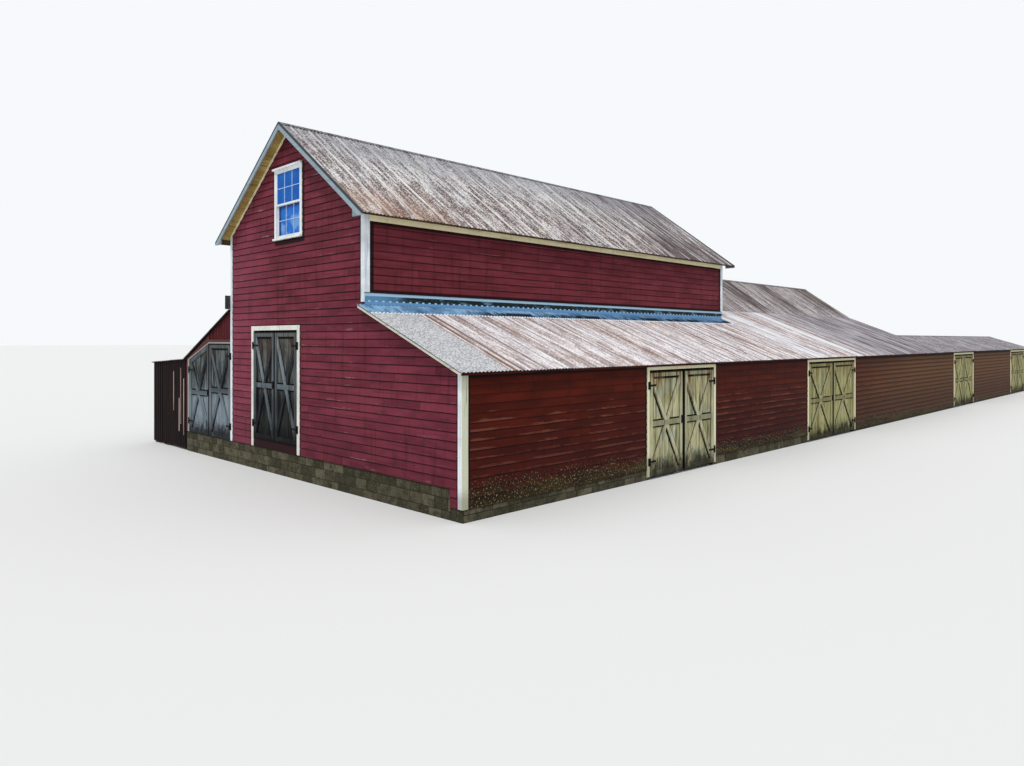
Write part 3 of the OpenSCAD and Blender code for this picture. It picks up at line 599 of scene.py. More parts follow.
# Framing and inner faces of the walls. Rough-sawn pine that was never painted, grey on
# top and brown in the grain; the walls' solids show it at their jambs and inside.
def plank_finish(name, dark, light, way, dirt=rgb(34, 28, 22), wear=0.3, rough=0.85, seams=0.0,
                 edge=HIGH):
    """Bare or painted planks whose grain runs up, along the wall, or back along the barn."""
    brush = Finish(name, rough)
    tone = brush.mark("tone")
    grain, aged = brush.worn(way, tone)
    colour = grain["Blotch"].fade(0.3, 0.7).mix(dark, light)
    colour = colour.coat(tone.fade(0.0, 1.0, 0.35), dark)
    colour = colour.coat(grain["Grain"].fade(0.48, 0.72, wear), dirt)
    colour = colour.coat(grain["Checks"] * 0.7, dirt)
    colour = colour.coat(aged["Runs"].fade(0.52, 0.75, wear), dirt)
    if seams:
        beside = abs(brush.mark("side") - 0.5)
        colour = colour.coat(beside.fade(0.38, 0.48, seams), blend(dirt, rgb(0, 0, 0), 0.6))
    # Painted shade: past the given distance from the ridge, out under the eaves, the boards go
    # dark.
    out = abs(brush.x - (RIDGE_X - MID_X))
    colour = colour.coat(out.fade(edge, edge + 0.02, 0.9), rgb(40, 30, 20))
    return brush.lay(colour, grain["Grain"] - grain["Checks"], 0.5, 0.003)


def repaint(paint, *nodes):
    """Gives the model's own solids a finish."""
    for node in nodes:
        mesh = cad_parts[node].data
        mesh.materials.clear()
        mesh.materials.append(paint)


bare_up = plank_finish("bare_posts", rgb(86, 76, 62), rgb(134, 122, 102), "up")
bare_run = plank_finish("bare_wall_boards", rgb(80, 68, 54), rgb(122, 108, 88), "run")
bare_back = plank_finish("bare_girders", rgb(82, 72, 58), rgb(128, 114, 94), "back")
repaint(bare_up, "frame_posts")
repaint(bare_back, "frame_girders", "loft_floor")
repaint(bare_run, "front_wall_beside_door", "front_wall_under_door", "front_gable_wall",
        "aisle_front_wall", "right_side_wall", "right_wall_plates", "clerestory_walls",
        "tall_rear_gable_wall", "rear_gable_wall", "wing_left_wall", "wing_rear_wall")

# Upright boarding of the lean-to. Rough boards of mixed widths stand side by side on
# rails, with thin gaps between; dark red paint, nearly gone at the foot.
red_boards = plank_finish("lean_to_red", rgb(72, 22, 26), rgb(112, 36, 42), "up", rgb(26, 10, 12),
                          0.55, seams=0.8)


def upright_boards(start, end, foot, top, narrow, wide, gaps, ragged=0.012):
    """Boards side by side between two places, their outer faces at y = 0."""
    boards = []
    x = start
    while x < end - 0.03:
        width = min(dice.uniform(narrow, wide), end - x)
        low = foot + dice.uniform(-ragged, ragged)
        out = dice.uniform(0.0, 0.004)
        boards.append(((x, out, low), (x + width, 0.024 + out, top)))
        x += width + dice.uniform(*gaps)
    return boards


door_x0, door_x1, head_z, sill_z = -2.23, -0.03, 2.545, 0.47
wall_foot = 0.475
clip_x = (door_x0 + door_x1) / 2
head_slant = math.tan(math.radians(19))
lean_cut = under(LEFT_X, LEANTO_EAVE_Z + 0.024, -LEANTO_PITCH)
clip_cut = (place(clip_x, 0, head_z + 0.01), Vector((head_slant, 0, -1)).normalized())
boards = upright_boards(LEFT_X, door_x0, wall_foot, 3.0, 0.12, 0.17, (0.002, 0.005))
boards += upright_boards(clip_x, 0.0, head_z + 0.01, 3.4, 0.10, 0.15, (0.003, 0.007), 0.0)
put_up("lean_to_front_boards", boards, red_boards, "boards_red", "leanto_front_wall",
       cuts=[lean_cut])
boards = upright_boards(door_x0, clip_x, 2.0, 3.3, 0.12, 0.17, (0.002, 0.005))
put_up("lean_to_boards_over_door", boards, red_boards, "boards_red", "leanto_front_wall",
       cuts=[clip_cut, lean_cut])
rails = [((LEFT_X, 0.03, z), (door_x0, 0.09, z + 0.1)) for z in (0.6, 1.4)]
rails += [((clip_x, 0.03, head_z + 0.02), (0.0, 0.09, head_z + 0.16))]
rails += [((door_x0 - 0.1, 0.03, wall_foot), (door_x0, 0.09, 2.1)),
          ((door_x1, 0.03, wall_foot), (0.0, 0.09, 2.7))]
put_up("lean_to_front_rails", rails, bare_run, "bare_timber")

boards = upright_boards(0.12, BARN_L - 0.02, wall_foot, LEANTO_EAVE_Z - 0.044, 0.12, 0.18,
                        (0.002, 0.007))
put_up("lean_to_side_boards", boards, red_boards, "boards_red", "left_side_wall",
       corner=(LEFT_X, BARN_L, 0), turn=-90)
rails = [((0.12, 0.03, z), (BARN_L - 0.09, 0.09, z + 0.1)) for z in (0.55, 1.25, 1.93)]
put_up("lean_to_side_rails", rails, bare_run, "bare_timber", corner=(LEFT_X, BARN_L, 0), turn=-90)

# Open-boarded shed on the left. The same rough boards on rails between posts, set
# with gaps wide enough to see through, under a nearly flat sheet roof.
shed_x, shed_l = -4.56, 8.1
shed_edge = -2.51
shed_fall = math.tan(math.radians(3))
shed_top = LEANTO_EAVE_Z - 0.06 * LEANTO_PITCH
shed_cut = (place(shed_edge, 0, shed_top - 0.0405), Vector((-shed_fall, 0, 1)).normalized())
# The shed's boards are the lean-to's red darkened nearly to black as painted shade.
shed_red_shaded = plank_finish("shed_red_shaded", rgb(16, 5, 5), rgb(34, 11, 11), "up", rgb(6, 4, 4), 0.6,
                        seams=0.8)
for name, start, end, top, corner, turn, cuts in (
        ("side", 0.03, shed_l - 0.03, shed_top - 0.17, (shed_x, shed_l, 0), -90, []),
        ("front", 0.0, LEFT_X - shed_x, 2.4, (shed_x, 0, 0), 0, [shed_cut]),
        ("rear", 0.0, LEFT_X - shed_x, 2.4, (LEFT_X, shed_l, 0), 180, [shed_cut])):
    boards = upright_boards(start, end, 0.05, top, 0.10, 0.16, (0.006, 0.035), 0.02)
    put_up(f"shed_{name}_boards", boards, shed_red_shaded, "boards_red", "shed_boards", corner=corner,
           turn=turn, cuts=cuts)
strips = [((x, -0.006, foot), (x + wide, 0.0, top)) for x, wide, foot, top in (
    (-3.245, 0.030, 0.90, 1.86), (-2.90, 0.035, 0.42, 1.22), (-2.80, 0.024, 0.6, 1.95),
    (-2.62, 0.030, 0.35, 1.70))]
pale_strip = plank_finish("bare_cover_strips", rgb(150, 126, 118), rgb(208, 190, 182), "up",
                          rgb(60, 36, 32), 0.4)
put_up("shed_cover_strips", strips, pale_strip, "bare_timber")
rail_feet = (0.4, 1.15, 1.8)
rails = [((shed_x + 0.035, 0.03, z), (shed_x + 0.08, shed_l - 0.03, z + 0.09)) for z in rail_feet]
rails += [((shed_x + 0.18, y, z), (LEFT_X, y + 0.045, z + 0.09))
          for z in rail_feet for y in (0.035, shed_l - 0.08)]
put_up("shed_rails", rails, bare_back, "bare_timber")


# Roofs. Corrugated galvanised sheets, eight waves to a sheet, nailed through their
# crests to close boarding; the zinc has dulled to grey and rusts in streaks down the
# slope. The boarding shows from below at the eaves and rakes.
WAVE, SHEET_W, WAVE_H, BOARD_TOP = 0.0762, 0.6096, 0.009, -0.0275
CLOSE_DECK, THIN_DECK, SHED_DECK = 0.065, 0.042, 0.04


def on_slope(eave, top, y0, y1):
    """Frame of a slope between its eave and its top edge: x along the eave, y up the slope."""
    up = Vector((top[0] - eave[0], 0, top[1] - eave[1])).normalized()
    along = Vector((0, 1 if eave[0] > top[0] else -1, 0))
    start = place(eave[0], y0 if eave[0] > top[0] else y1, eave[1])
    return Matrix.Translation(start) @ Matrix((along, up, along.cross(up))).transposed().to_4x4()


def grid(name, across, along, size, middle=(0, 0, 0)):
    """A flat sheet with so many parts across and along."""
    bpy.ops.object.select_all(action="DESELECT")
    bpy.ops.mesh.primitive_grid_add(x_subdivisions=across, y_subdivisions=along, size=1,
                                    location=middle)
    piece = bpy.context.object
    piece.name = piece.data.name = name
    piece.scale = (*size, 1)
    bpy.ops.object.transform_apply(location=True, rotation=True, scale=True)
    return piece


def sheets(name, eave, top, y0, y1, lift=0.0):
    """Corrugated sheets side by side on one slope, each with a tone of its own."""
    run = math.hypot(top[0] - eave[0], top[1] - eave[1])
    count = math.ceil((y1 - y0) / SHEET_W)
    piece = grid(name, 48, max(2, round(run / 0.45)), (SHEET_W, run), (SHEET_W / 2, run / 2, 0))
    places = places_of(piece)
    places[:, 2] = WAVE_H * np.cos(places[:, 0] * 2 * math.pi / WAVE) - 0.0155
    piece.data.vertices.foreach_set("co", places.ravel())
    press(piece, "ARRAY", count=count, relative_offset_displace=(1, 0, 0),
          use_merge_vertices=True, merge_threshold=0.0005)
    places = places_of(piece)
    mark_points(piece, "trough", 0.5 - 0.5 * np.cos(places[:, 0] * 2 * math.pi / WAVE))
    past = np.abs(places[:, 0] - np.round(places[:, 0] / SHEET_W) * SHEET_W)
    mark_points(piece, "seam", np.clip(1.25 - past / 0.03, 0, 1))
    sheet = np.clip((places[:, 0] / SHEET_W).astype(int), 0, count - 1)
    tones = np.array([dice.random() for _ in range(count)])
    short = np.array([dice.uniform(0.0, 0.014) for _ in range(count)])
    raised = np.array([dice.uniform(-0.001, 0.001) for _ in range(count)])
    places[:, 1] += np.where(places[:, 1] < 0.01, short[sheet], 0.0)
    places[:, 2] += raised[sheet] + lift
    piece.data.vertices.foreach_set("co", places.ravel())
    mark_points(piece, "tone", tones[sheet])
    trim_off(piece, (y1 - y0, 0, 0), (1, 0, 0))
    if lift == 0.0:
        waver(piece, "Z", 0.006)
    press(piece, "SOLIDIFY", thickness=0.0015, offset=-1)
    settle(piece, on_slope(eave, top, y0, y1))
    return piece


def decking(name, eave, top, y0, y1, pitch, deep):
    """Close boarding under the sheets, its boards level along the roof."""
    run = math.hypot(top[0] - eave[0], top[1] - eave[1])
    depth = deep * math.cos(math.atan(pitch))
    boards = []
    up = 0.0
    while up < run - 0.02:
        wide = min(dice.uniform(0.13, 0.17), run - up)
        x = 0.0
        while x < y1 - y0 - 0.02:
            after = min(x + dice.uniform(3.2, 4.9), y1 - y0)
            boards.append(((x, up, -depth), (after - 0.002, up + wide - 0.003, BOARD_TOP)))
            x = after
        up += wide
    piece = add_boards(name, boards)
    settle(piece, on_slope(eave, top, y0, y1))
    return piece


def sheet_finish(name, pale, dull, white, dark, rust, deep_rust, amount, fine, seams, sheet_wise,
                 low=None):
    """Old galvanised sheet, streaked down the slope; its colour can be mixed further."""
    brush = Finish(name, 0.68, 0.1)
    x, y, z = brush.x, brush.y, brush.z
    broad, middle, thin, dash = (
        brush.streaks(x * up, y * back, z * up, detail, rough) for up, back, detail, rough in (
            (0.25, 1.6, 4.0, 0.6), (0.4, 5.0, 4.0, 0.6), (0.5, 10.0, 2.0, 0.7),
            (1.7, 15.0, 2.0, 0.6)))
    brush.thin, brush.middle = thin, middle
    brush.cloud = brush.noise(brush.spot, 0.8, 4.0, 0.6)
    brush.speck = brush.noise(brush.spot, 30.0, 2.0, 0.6)
    colour = middle.fade(0.42, 0.56).mix(pale, dull)
    by_sheet = brush.mark("tone").fade(0.3, 0.7, 0.02 + sheet_wise, 0.02)
    rusty = broad * 0.34 + middle * 0.26 + brush.cloud * 0.26 + by_sheet
    if low:
        rusty += z.fade(*low)
    mask = rusty.fade(0.50 - amount, 0.60 - amount)
    colour = colour.coat(mask * 0.8, middle.fade(0.44, 0.58).mix(rust, deep_rust))
    for marks, start, end, hue in ((thin, 0.46, 0.42, white), (thin, 0.53, 0.57, dark),
                                   (dash, 0.54, 0.58, dark), (dash, 0.45, 0.41, white)):
        colour = colour.coat(marks.fade(start, end, fine * 0.8), hue)
    dirty = brush.mark("trough").fade(0.6, 1.0) * middle.fade(0.40, 0.62, 0.6, 0.2)
    colour = colour.coat(dirty, blend(deep_rust, dark, 0.6))
    colour = colour.coat(brush.speck.fade(0.53, 0.60, fine * 0.75), dark)
    colour = colour.coat(brush.speck.fade(0.46, 0.39, fine * 0.75), white)
    if seams:
        colour = colour.coat(brush.mark("seam") * broad.fade(0.38, 0.5, 0.9, 0.3), seams)
    brush.plug(mask.fade(0.0, 1.0, 0.88, 0.58), brush.shader["Roughness"])
    return brush, colour


brush, colour = sheet_finish(
    "tall_roof_sheet", rgb(184, 182, 182), rgb(150, 144, 144), rgb(232, 230, 230), rgb(80, 70, 72),
    rgb(172, 148, 134), rgb(118, 96, 92), 0.0, 0.78, rgb(230, 226, 222), 0.05, (6.3, 4.8, 0.12))
z, back, thin, middle = brush.z, brush.back, brush.thin, brush.middle
colour = colour.coat(z.fade(5.7, 6.6) * thin.fade(0.55, 0.42, 0.7, 0.2), rgb(136, 140, 148))
shaded = brush.streaks(brush.x * 0.5, brush.y * 0.8, 2.0, 2.0).fade(0.44, 0.62)
shaded = shaded * z.fade(6.3, 5.2, 0.7, 0.1) * middle.fade(0.40, 0.56, 1.0, 0.25)
shaded = shaded * back.fade(2.0, 9.0, 1.0, 0.1)
shaded += back.fade(6.0, 11.5, 0.8) * thin.fade(0.42, 0.56, 1.0, 0.3)
colour = colour.coat(shaded & 0.85, rgb(80, 68, 72))
orange = back.fade(3.0, 0.5) * z.fade(5.5, 4.9) * middle.fade(0.42, 0.56, 0.42, 0.1)
tall_sheet = brush.lay(colour.coat(orange, rgb(172, 128, 96)), thin, 0.15, 0.002)

brush, colour = sheet_finish(
    "aisle_roof_sheet", rgb(226, 222, 224), rgb(202, 194, 198), rgb(250, 248, 250),
    rgb(130, 112, 112), rgb(200, 176, 164), rgb(148, 120, 108), -0.03, 0.52, rgb(104, 84, 80), 0.13)
back, thin, cloud = brush.back, brush.thin, brush.cloud
grey = thin.fade(0.46, 0.54).mix(rgb(164, 160, 168), rgb(78, 70, 76))
colour = colour.coat(back.fade(13.5, 19.0) * 0.85, grey)
clean = abs(back - 12.7).fade(0.75, 0.15) | abs(back - 15.1).fade(0.50, 0.10)
clean *= cloud.fade(0.3, 0.5, 0.85, 0.5) * brush.middle.fade(0.60, 0.44, 1.0, 0.2)
colour = colour.coat(clean, rgb(226, 229, 233))
new_sheet = brush.speck.fade(0.44, 0.58, 0.8).mix(rgb(204, 204, 206), rgb(146, 148, 152))
colour = colour.coat(back.fade(0.86, 0.82), new_sheet)
for line, wide in ((0.86, 0.030), (0.98, 0.040), (1.13, 0.030)):
    strip = abs(back - line).fade(wide, wide * 0.6) * cloud.fade(0.34, 0.50, 0.95, 0.35)
    colour = colour.coat(strip, rgb(130, 100, 86))
aisle_sheet = brush.lay(colour, thin, 0.15, 0.002)

brush, colour = sheet_finish(
    "nave_roof_sheet", rgb(172, 164, 164), rgb(142, 132, 134), rgb(212, 208, 208), rgb(84, 74, 76),
    rgb(146, 120, 112), rgb(104, 84, 80), 0.0, 0.62, rgb(84, 70, 68), 0.06)
# Painted shadow at three steps in the slope where the sheets sag: each a dark band that deepens
# towards the step.
for line, wide in ((16.75, 2.2), (19.5, 1.8), (23.2, 2.4)):
    behind = brush.back.fade(line - wide, line - 0.1) * brush.back.fade(line + 0.04, line)
    behind *= brush.z.fade(3.4, 4.0, 0.85, 0.2) * brush.thin.fade(0.38, 0.50, 1.0, 0.5)
    colour = colour.coat(behind, rgb(56, 40, 36))
nave_sheet = brush.lay(colour, brush.thin, 0.15, 0.002)

brush, colour = sheet_finish(
    "wing_roof_sheet", rgb(156, 152, 158), rgb(126, 120, 126), rgb(200, 198, 204), rgb(74, 66, 70),
    rgb(150, 128, 122), rgb(110, 92, 90), 0.0, 0.6, rgb(96, 86, 88), 0.08)
wing_sheet = brush.lay(colour, brush.thin, 0.15, 0.002)

# Its boards go dark out under the eaves as painted shade.
cream_soffit = plank_finish("soffit_cream", rgb(160, 136, 76), rgb(196, 174, 108), "back",
                            rgb(60, 44, 20), 0.4, 0.7, edge=RIDGE_X + 0.10)
eave_boards = plank_finish("eave_boards_red", rgb(44, 10, 4), rgb(66, 20, 8), "back", rgb(16, 8, 6),
                           0.4)
# Nearly black boards: old timber, darkened further as painted shade under the eaves and rakes.
deck_old_and_shaded = plank_finish("roof_boards_old_and_shaded", rgb(24, 18, 14), rgb(44, 34, 26), "back", rgb(12, 9, 8),
                        0.4)

tall_eave = (TALL_W + 0.275, TALL_EAVE_Z - 0.275 * TALL_PITCH)
tall_top = (RIDGE_X + 0.005, TALL_RIDGE_Z - 0.005 * TALL_PITCH)
right_eave = (RIGHT_X + 0.135, EAVE_Z - 0.135 * LOWER_PITCH)
left_eave = (LEFT_X - 0.06, LEANTO_EAVE_Z - 0.06 * LEANTO_PITCH)
left_top = (-0.023, LEANTO_TOP_Z - 0.023 * LEANTO_PITCH)
nave_top = NAVE_RIDGE_Z - 0.005 * NAVE_PITCH
wing_low, wing_high = EAVE_Z - 0.135 * WING_PITCH, WING_RIDGE_Z - 0.005 * WING_PITCH
tall_y, tall_deck_y = (-0.244, TALL_L + 0.244), (-0.22, TALL_L + 0.22)
nave_y = (TALL_L, BARN_L + 0.15)
wing_y, wing_deck_y = (BARN_L + 0.15, TOTAL_L + 0.148), (BARN_L + 0.15, TOTAL_L + 0.14)
# Each slope's eave, top edge, reach of its sheets and of its boards, pitch, boarding and looks.
for name, side, eave, top, sheet_y, deck_y, pitch, deep, node, sheet, deck, slot in (
        ("tall", "_right", tall_eave, tall_top, tall_y, tall_deck_y, TALL_PITCH,
         CLOSE_DECK, "tall_roof", tall_sheet, cream_soffit, "trim_cream"),
        ("tall", "_left", (TALL_W - tall_eave[0], tall_eave[1]),
         (TALL_W - tall_top[0], tall_top[1]), tall_y, tall_deck_y, TALL_PITCH, CLOSE_DECK,
         "tall_roof", tall_sheet, cream_soffit, "trim_cream"),
        ("right", "_front", right_eave, (TALL_W, TOP_WALL_Z), (-0.159, TALL_L), (-0.139, TALL_L),
         LOWER_PITCH, CLOSE_DECK, "right_lower_roof", aisle_sheet, eave_boards, "bare_timber"),
        ("right", "_back", right_eave, (KNEE_R, KNEE_Z), nave_y, (TALL_L + 0.02, BARN_L + 0.15),
         LOWER_PITCH, CLOSE_DECK, "right_lower_roof", aisle_sheet, eave_boards, "bare_timber"),
        ("left", "_front", left_eave, left_top, (-0.06, TALL_L), (-0.06, TALL_L), LEANTO_PITCH,
         THIN_DECK, "left_lower_roof", nave_sheet, deck_old_and_shaded, "bare_timber"),
        ("left", "_back", left_eave, (KNEE_L, KNEE_L_Z), nave_y, nave_y, LEANTO_PITCH,
         THIN_DECK, "left_lower_roof", nave_sheet, deck_old_and_shaded, "bare_timber"),
        ("nave", "_right", (KNEE_R, KNEE_Z), (RIDGE_X + 0.005, nave_top), nave_y, nave_y,
         NAVE_PITCH, CLOSE_DECK, "nave_roof", nave_sheet, deck_old_and_shaded, "bare_timber"),
        ("nave", "_left", (KNEE_L, KNEE_L_Z), (RIDGE_X - 0.005, nave_top), nave_y, nave_y,
         NAVE_PITCH, CLOSE_DECK, "nave_roof", nave_sheet, deck_old_and_shaded, "bare_timber"),
        ("wing", "_right", (RIGHT_X + 0.135, wing_low), (WING_RIDGE_X + 0.005, wing_high), wing_y,
         wing_deck_y, WING_PITCH, CLOSE_DECK, "wing_roof", wing_sheet, deck_old_and_shaded, "bare_timber"),
        ("wing", "_left", (WING_X - 0.135, wing_low), (WING_RIDGE_X - 0.005, wing_high), wing_y,
         wing_deck_y, WING_PITCH, CLOSE_DECK, "wing_roof", wing_sheet, deck_old_and_shaded, "bare_timber"),
        ("shed", "", (-4.61, shed_top - 2.10 * shed_fall), (shed_edge, shed_top),
         (-0.045, shed_l + 0.139), (-0.04, shed_l + 0.14), shed_fall, SHED_DECK,
         "shed_roof", nave_sheet, deck_old_and_shaded, "bare_timber")):
    metal = sheets(f"{name}_roof_sheets{side}", eave, top, *sheet_y)
    finish_piece(metal, sheet, "roof_sheet", node)
    boards = decking(f"{name}_roof_boards{side}", eave, top, *deck_y, pitch, deep)
    finish_piece(boards, deck, slot, node)

brush, colour = sheet_finish(
    "ridge_cap_sheet", rgb(120, 116, 120), rgb(92, 88, 92), rgb(170, 168, 170), rgb(60, 56, 60),
    rgb(116, 98, 90), rgb(80, 66, 62), 0.0, 0.5, None, 0.0)
cap_metal = brush.lay(colour, brush.thin, 0.1, 0.002)
for name, x, z, pitch, (y0, y1) in (("tall", RIDGE_X, TALL_RIDGE_Z, TALL_PITCH, tall_y),
                                    ("nave", RIDGE_X, NAVE_RIDGE_Z, NAVE_PITCH, nave_y),
                                    ("wing", WING_RIDGE_X, WING_RIDGE_Z, WING_PITCH, wing_y)):
    cap = grid("ridge_cap_" + name, 2, round((y1 - y0) / 0.6), (0.15, y1 - y0))
    for corner in cap.data.vertices:
        corner.co.z = -0.002 - abs(corner.co.x) * pitch
    press(cap, "SOLIDIFY", thickness=0.004, offset=-1)
    waver(cap, "X", 0.008)
    settle(cap, standing((x, (y0 + y1) / 2, z)))
    finish_piece(cap, cap_metal, "roof_sheet", "ridge_caps")

# Flashing where the lower roofs meet the tall block. Painted sheet, folded up the wall
# and dressed down over the waves of the roof; its flaking blue paint is deepened by painted
# shade, and the strip on the wall is black with mould and painted shade above its row of nails.
FLASHING_OUT, FLASHING_UP = 0.385, 0.195


def flashing_paint(name, wall_x, wall_z, way):
    """Blue paint and painted shade on the apron, black mould and painted shade on the wall strip.
    """
    brush = Finish(name, 0.6, 0.1)
    y, z, back = brush.y, brush.z, brush.back
    out, up = (brush.x - (wall_x - MID_X)) * way, z - wall_z
    soft = brush.streaks(out * 3.0, y * 2.6, 4.0, 4.0, 0.6)
    strokes = brush.streaks(out * 1.5, y * 15.0, 9.0, 2.0)
    blots = strokes * 0.4 + brush.streaks(out * 1.5, y * 1.7, 5.0, 2.0) * 0.6
    thin = brush.streaks(out * 2.0, y * 18.0, up * 6.0)
    # The blue is partly painted shade, the sky-lit shadow of the tall block's eaves.
    colour = soft.fade(0.40, 0.60).mix(rgb(140, 178, 210), rgb(92, 134, 170))
    colour = colour.coat(back.fade(2.5, 7.0, 0.5), rgb(58, 92, 132))
    colour = colour.coat(thin.fade(0.52, 0.62, 0.5), rgb(48, 72, 100))
    spots = blots.fade(0.47, 0.50) * out.fade(0.345, 0.325) * out.fade(0.12, 0.20)
    colour = colour.coat(spots * back.fade(1.4, 3.0, 0.95, 0.1), rgb(16, 20, 30))
    # Painted light: a pale line along the apron's outer edge, where the painted shade ends.
    colour = colour.coat(out.fade(FLASHING_OUT - 0.05, FLASHING_OUT - 0.035), rgb(230, 236, 242))
    # Black on the strip: mould and painted shade.
    mould = brush.streaks(4.0, y * 2.4, z * 9.0, 5.0, 0.7)
    strip = mould.fade(0.52, 0.64).mix(rgb(22, 34, 34), rgb(96, 132, 158))
    strip = strip.coat(back.fade(1.0, 0.3, 0.8), rgb(104, 152, 190))
    strip = strip.coat(up.fade(FLASHING_UP - 0.065, FLASHING_UP - 0.05), rgb(170, 204, 228))
    strip = strip.coat(up.fade(0.05, 0.035), rgb(104, 152, 196))
    along = abs(brush.math("FRACT", y * 7.0) - 0.5)
    nails = along.fade(0.22, 0.12) * abs(up - 0.05).fade(0.016, 0.008)
    strip = strip.coat(nails, rgb(176, 206, 228))
    return brush.lay(colour.coat(out.fade(0.012, 0.009), strip), soft, 0.2, 0.002)


for name, x, way, top_z, pitch, y0, near in (
        ("right", TALL_W, 1, TOP_WALL_Z, LOWER_PITCH, -0.159, 0.0),
        ("left", 0.0, -1, LEANTO_TOP_Z, LEANTO_PITCH, -0.055, 0.023)):
    blue = flashing_paint("flashing_blue_" + name, x, top_z, way)
    foot, top = ((x + way * out, top_z - out * pitch) for out in (FLASHING_OUT, near))
    apron = sheets("flashing_apron_" + name, foot, top, y0, TALL_L, 0.003)
    finish_piece(apron, blue, "roof_sheet", "wall_flashings")
    low, high = sorted((x + way * 0.0005, x + way * 0.0055))
    strip = assemble("flashing_strip_" + name, [block(
        ((low + high) / 2, TALL_L / 2, top_z + FLASHING_UP / 2 - 0.006),
        (high - low, TALL_L, FLASHING_UP + 0.010))])
    score(strip, Vector((0, 1, 0)), [i * TALL_L / 24 for i in range(1, 24)])
    waver(strip, "Z", 0.006)
    settle(strip, standing((0, 0, 0)))
    finish_piece(strip, blue, "roof_sheet", "wall_flashings")

upstand = add_boards("lean_to_upstand", [((-0.028, -0.139, 3.2), (-0.0225, 0.0, 3.573))])
press(upstand, "BEVEL", width=0.001, segments=1)
settle(upstand, standing((0, 0, 0)))
trim_off(upstand, place(0, 0, LEANTO_TOP_Z - 0.01), Vector((LEANTO_PITCH, 0, -1)).normalized())
upstand_paint = plank_finish("upstand_metal", rgb(52, 54, 58), rgb(86, 90, 96), "up",
                             rgb(26, 24, 24), 0.4, 0.6)
finish_piece(upstand, upstand_paint, "roof_sheet", "wall_flashings")


# Painted trim. Planed boards nailed over the corners, round the openings and along
# the rakes: chalky white with grey runs, and cream under the eaves.
def trim_finish(name, clean, dirty, amount, way="up", tints=(), rake=None, hood=False):
    """Old gloss paint on planed boards, greyed in runs and cracked along the grain."""
    brush = Finish(name, 0.6)
    x, z = brush.x, brush.z
    grain, aged = brush.worn(way, 0.3)
    colour = aged["Patches"].fade(0.38, 0.68, amount).mix(clean, dirty)
    colour = colour.coat(aged["Runs"].fade(0.52, 0.72, amount), dirty)
    for start, end, tint in tints:
        colour = colour.coat((x + MID_X).fade(start, end, 0.85), tint)
    colour = colour.coat(grain["Checks"] * 0.5, rgb(96, 90, 82))
    colour = colour.coat(z.fade(0.55, 0.30, 0.5), rgb(110, 104, 88))
    if hood:
        slope = (x - (clip_x - MID_X) & 0.0) * head_slant
        over = (z - head_z - slope).fade(0.026, 0.034) * (x + MID_X).fade(0.0005, -0.0095)
        colour = colour.coat(over * 0.95, rgb(78, 24, 28))
    if rake:
        # Painted shadow under the edge of the roof sheets along the top of the board, and a greyer
        # lower edge.
        drop = rake[1] - abs(x - (rake[0] - MID_X)) * rake[2] - z
        colour = colour.coat(drop.fade(0.055, 0.040, 0.9), rgb(34, 38, 42))
        colour = colour.coat(drop.fade(0.13, 0.17, 0.4), rgb(84, 92, 96))
    return brush.lay(colour, grain["Grain"] - grain["Checks"], 0.3, 0.002)


trim_white = trim_finish("trim_white", rgb(236, 240, 242), rgb(190, 192, 188), 0.4)
corner_white = trim_finish("corner_board_paint", rgb(232, 240, 246), rgb(176, 184, 190), 0.45,
                           tints=[(RIGHT_X + 0.0005, RIGHT_X + 0.0025, rgb(196, 196, 166))])
casing_white = trim_finish("casing_paint", rgb(232, 232, 224), rgb(176, 174, 162), 0.45, hood=True,
                           tints=[(6.9625, 7.0625, rgb(222, 218, 176)),
                                  (0.0025, -0.0075, rgb(128, 130, 124))])
barge_blue = trim_finish("barge_paint", rgb(150, 168, 178), rgb(120, 134, 140), 0.35, "run",
                         rake=(RIDGE_X, TALL_RIDGE_Z, TALL_PITCH))
trim_cream = trim_finish("trim_cream", rgb(254, 244, 204), rgb(214, 200, 150), 0.35, "run")
old_white = trim_finish("rake_trim", rgb(206, 204, 190), rgb(150, 148, 138), 0.4, "run")
for paint, node in ((corner_white, "corner_boards"), (casing_white, "door_casings"),
                    (trim_white, "window_frame"),
                    (barge_blue, "bargeboards"), (trim_cream, "frieze_boards")):
    repaint(paint, node)

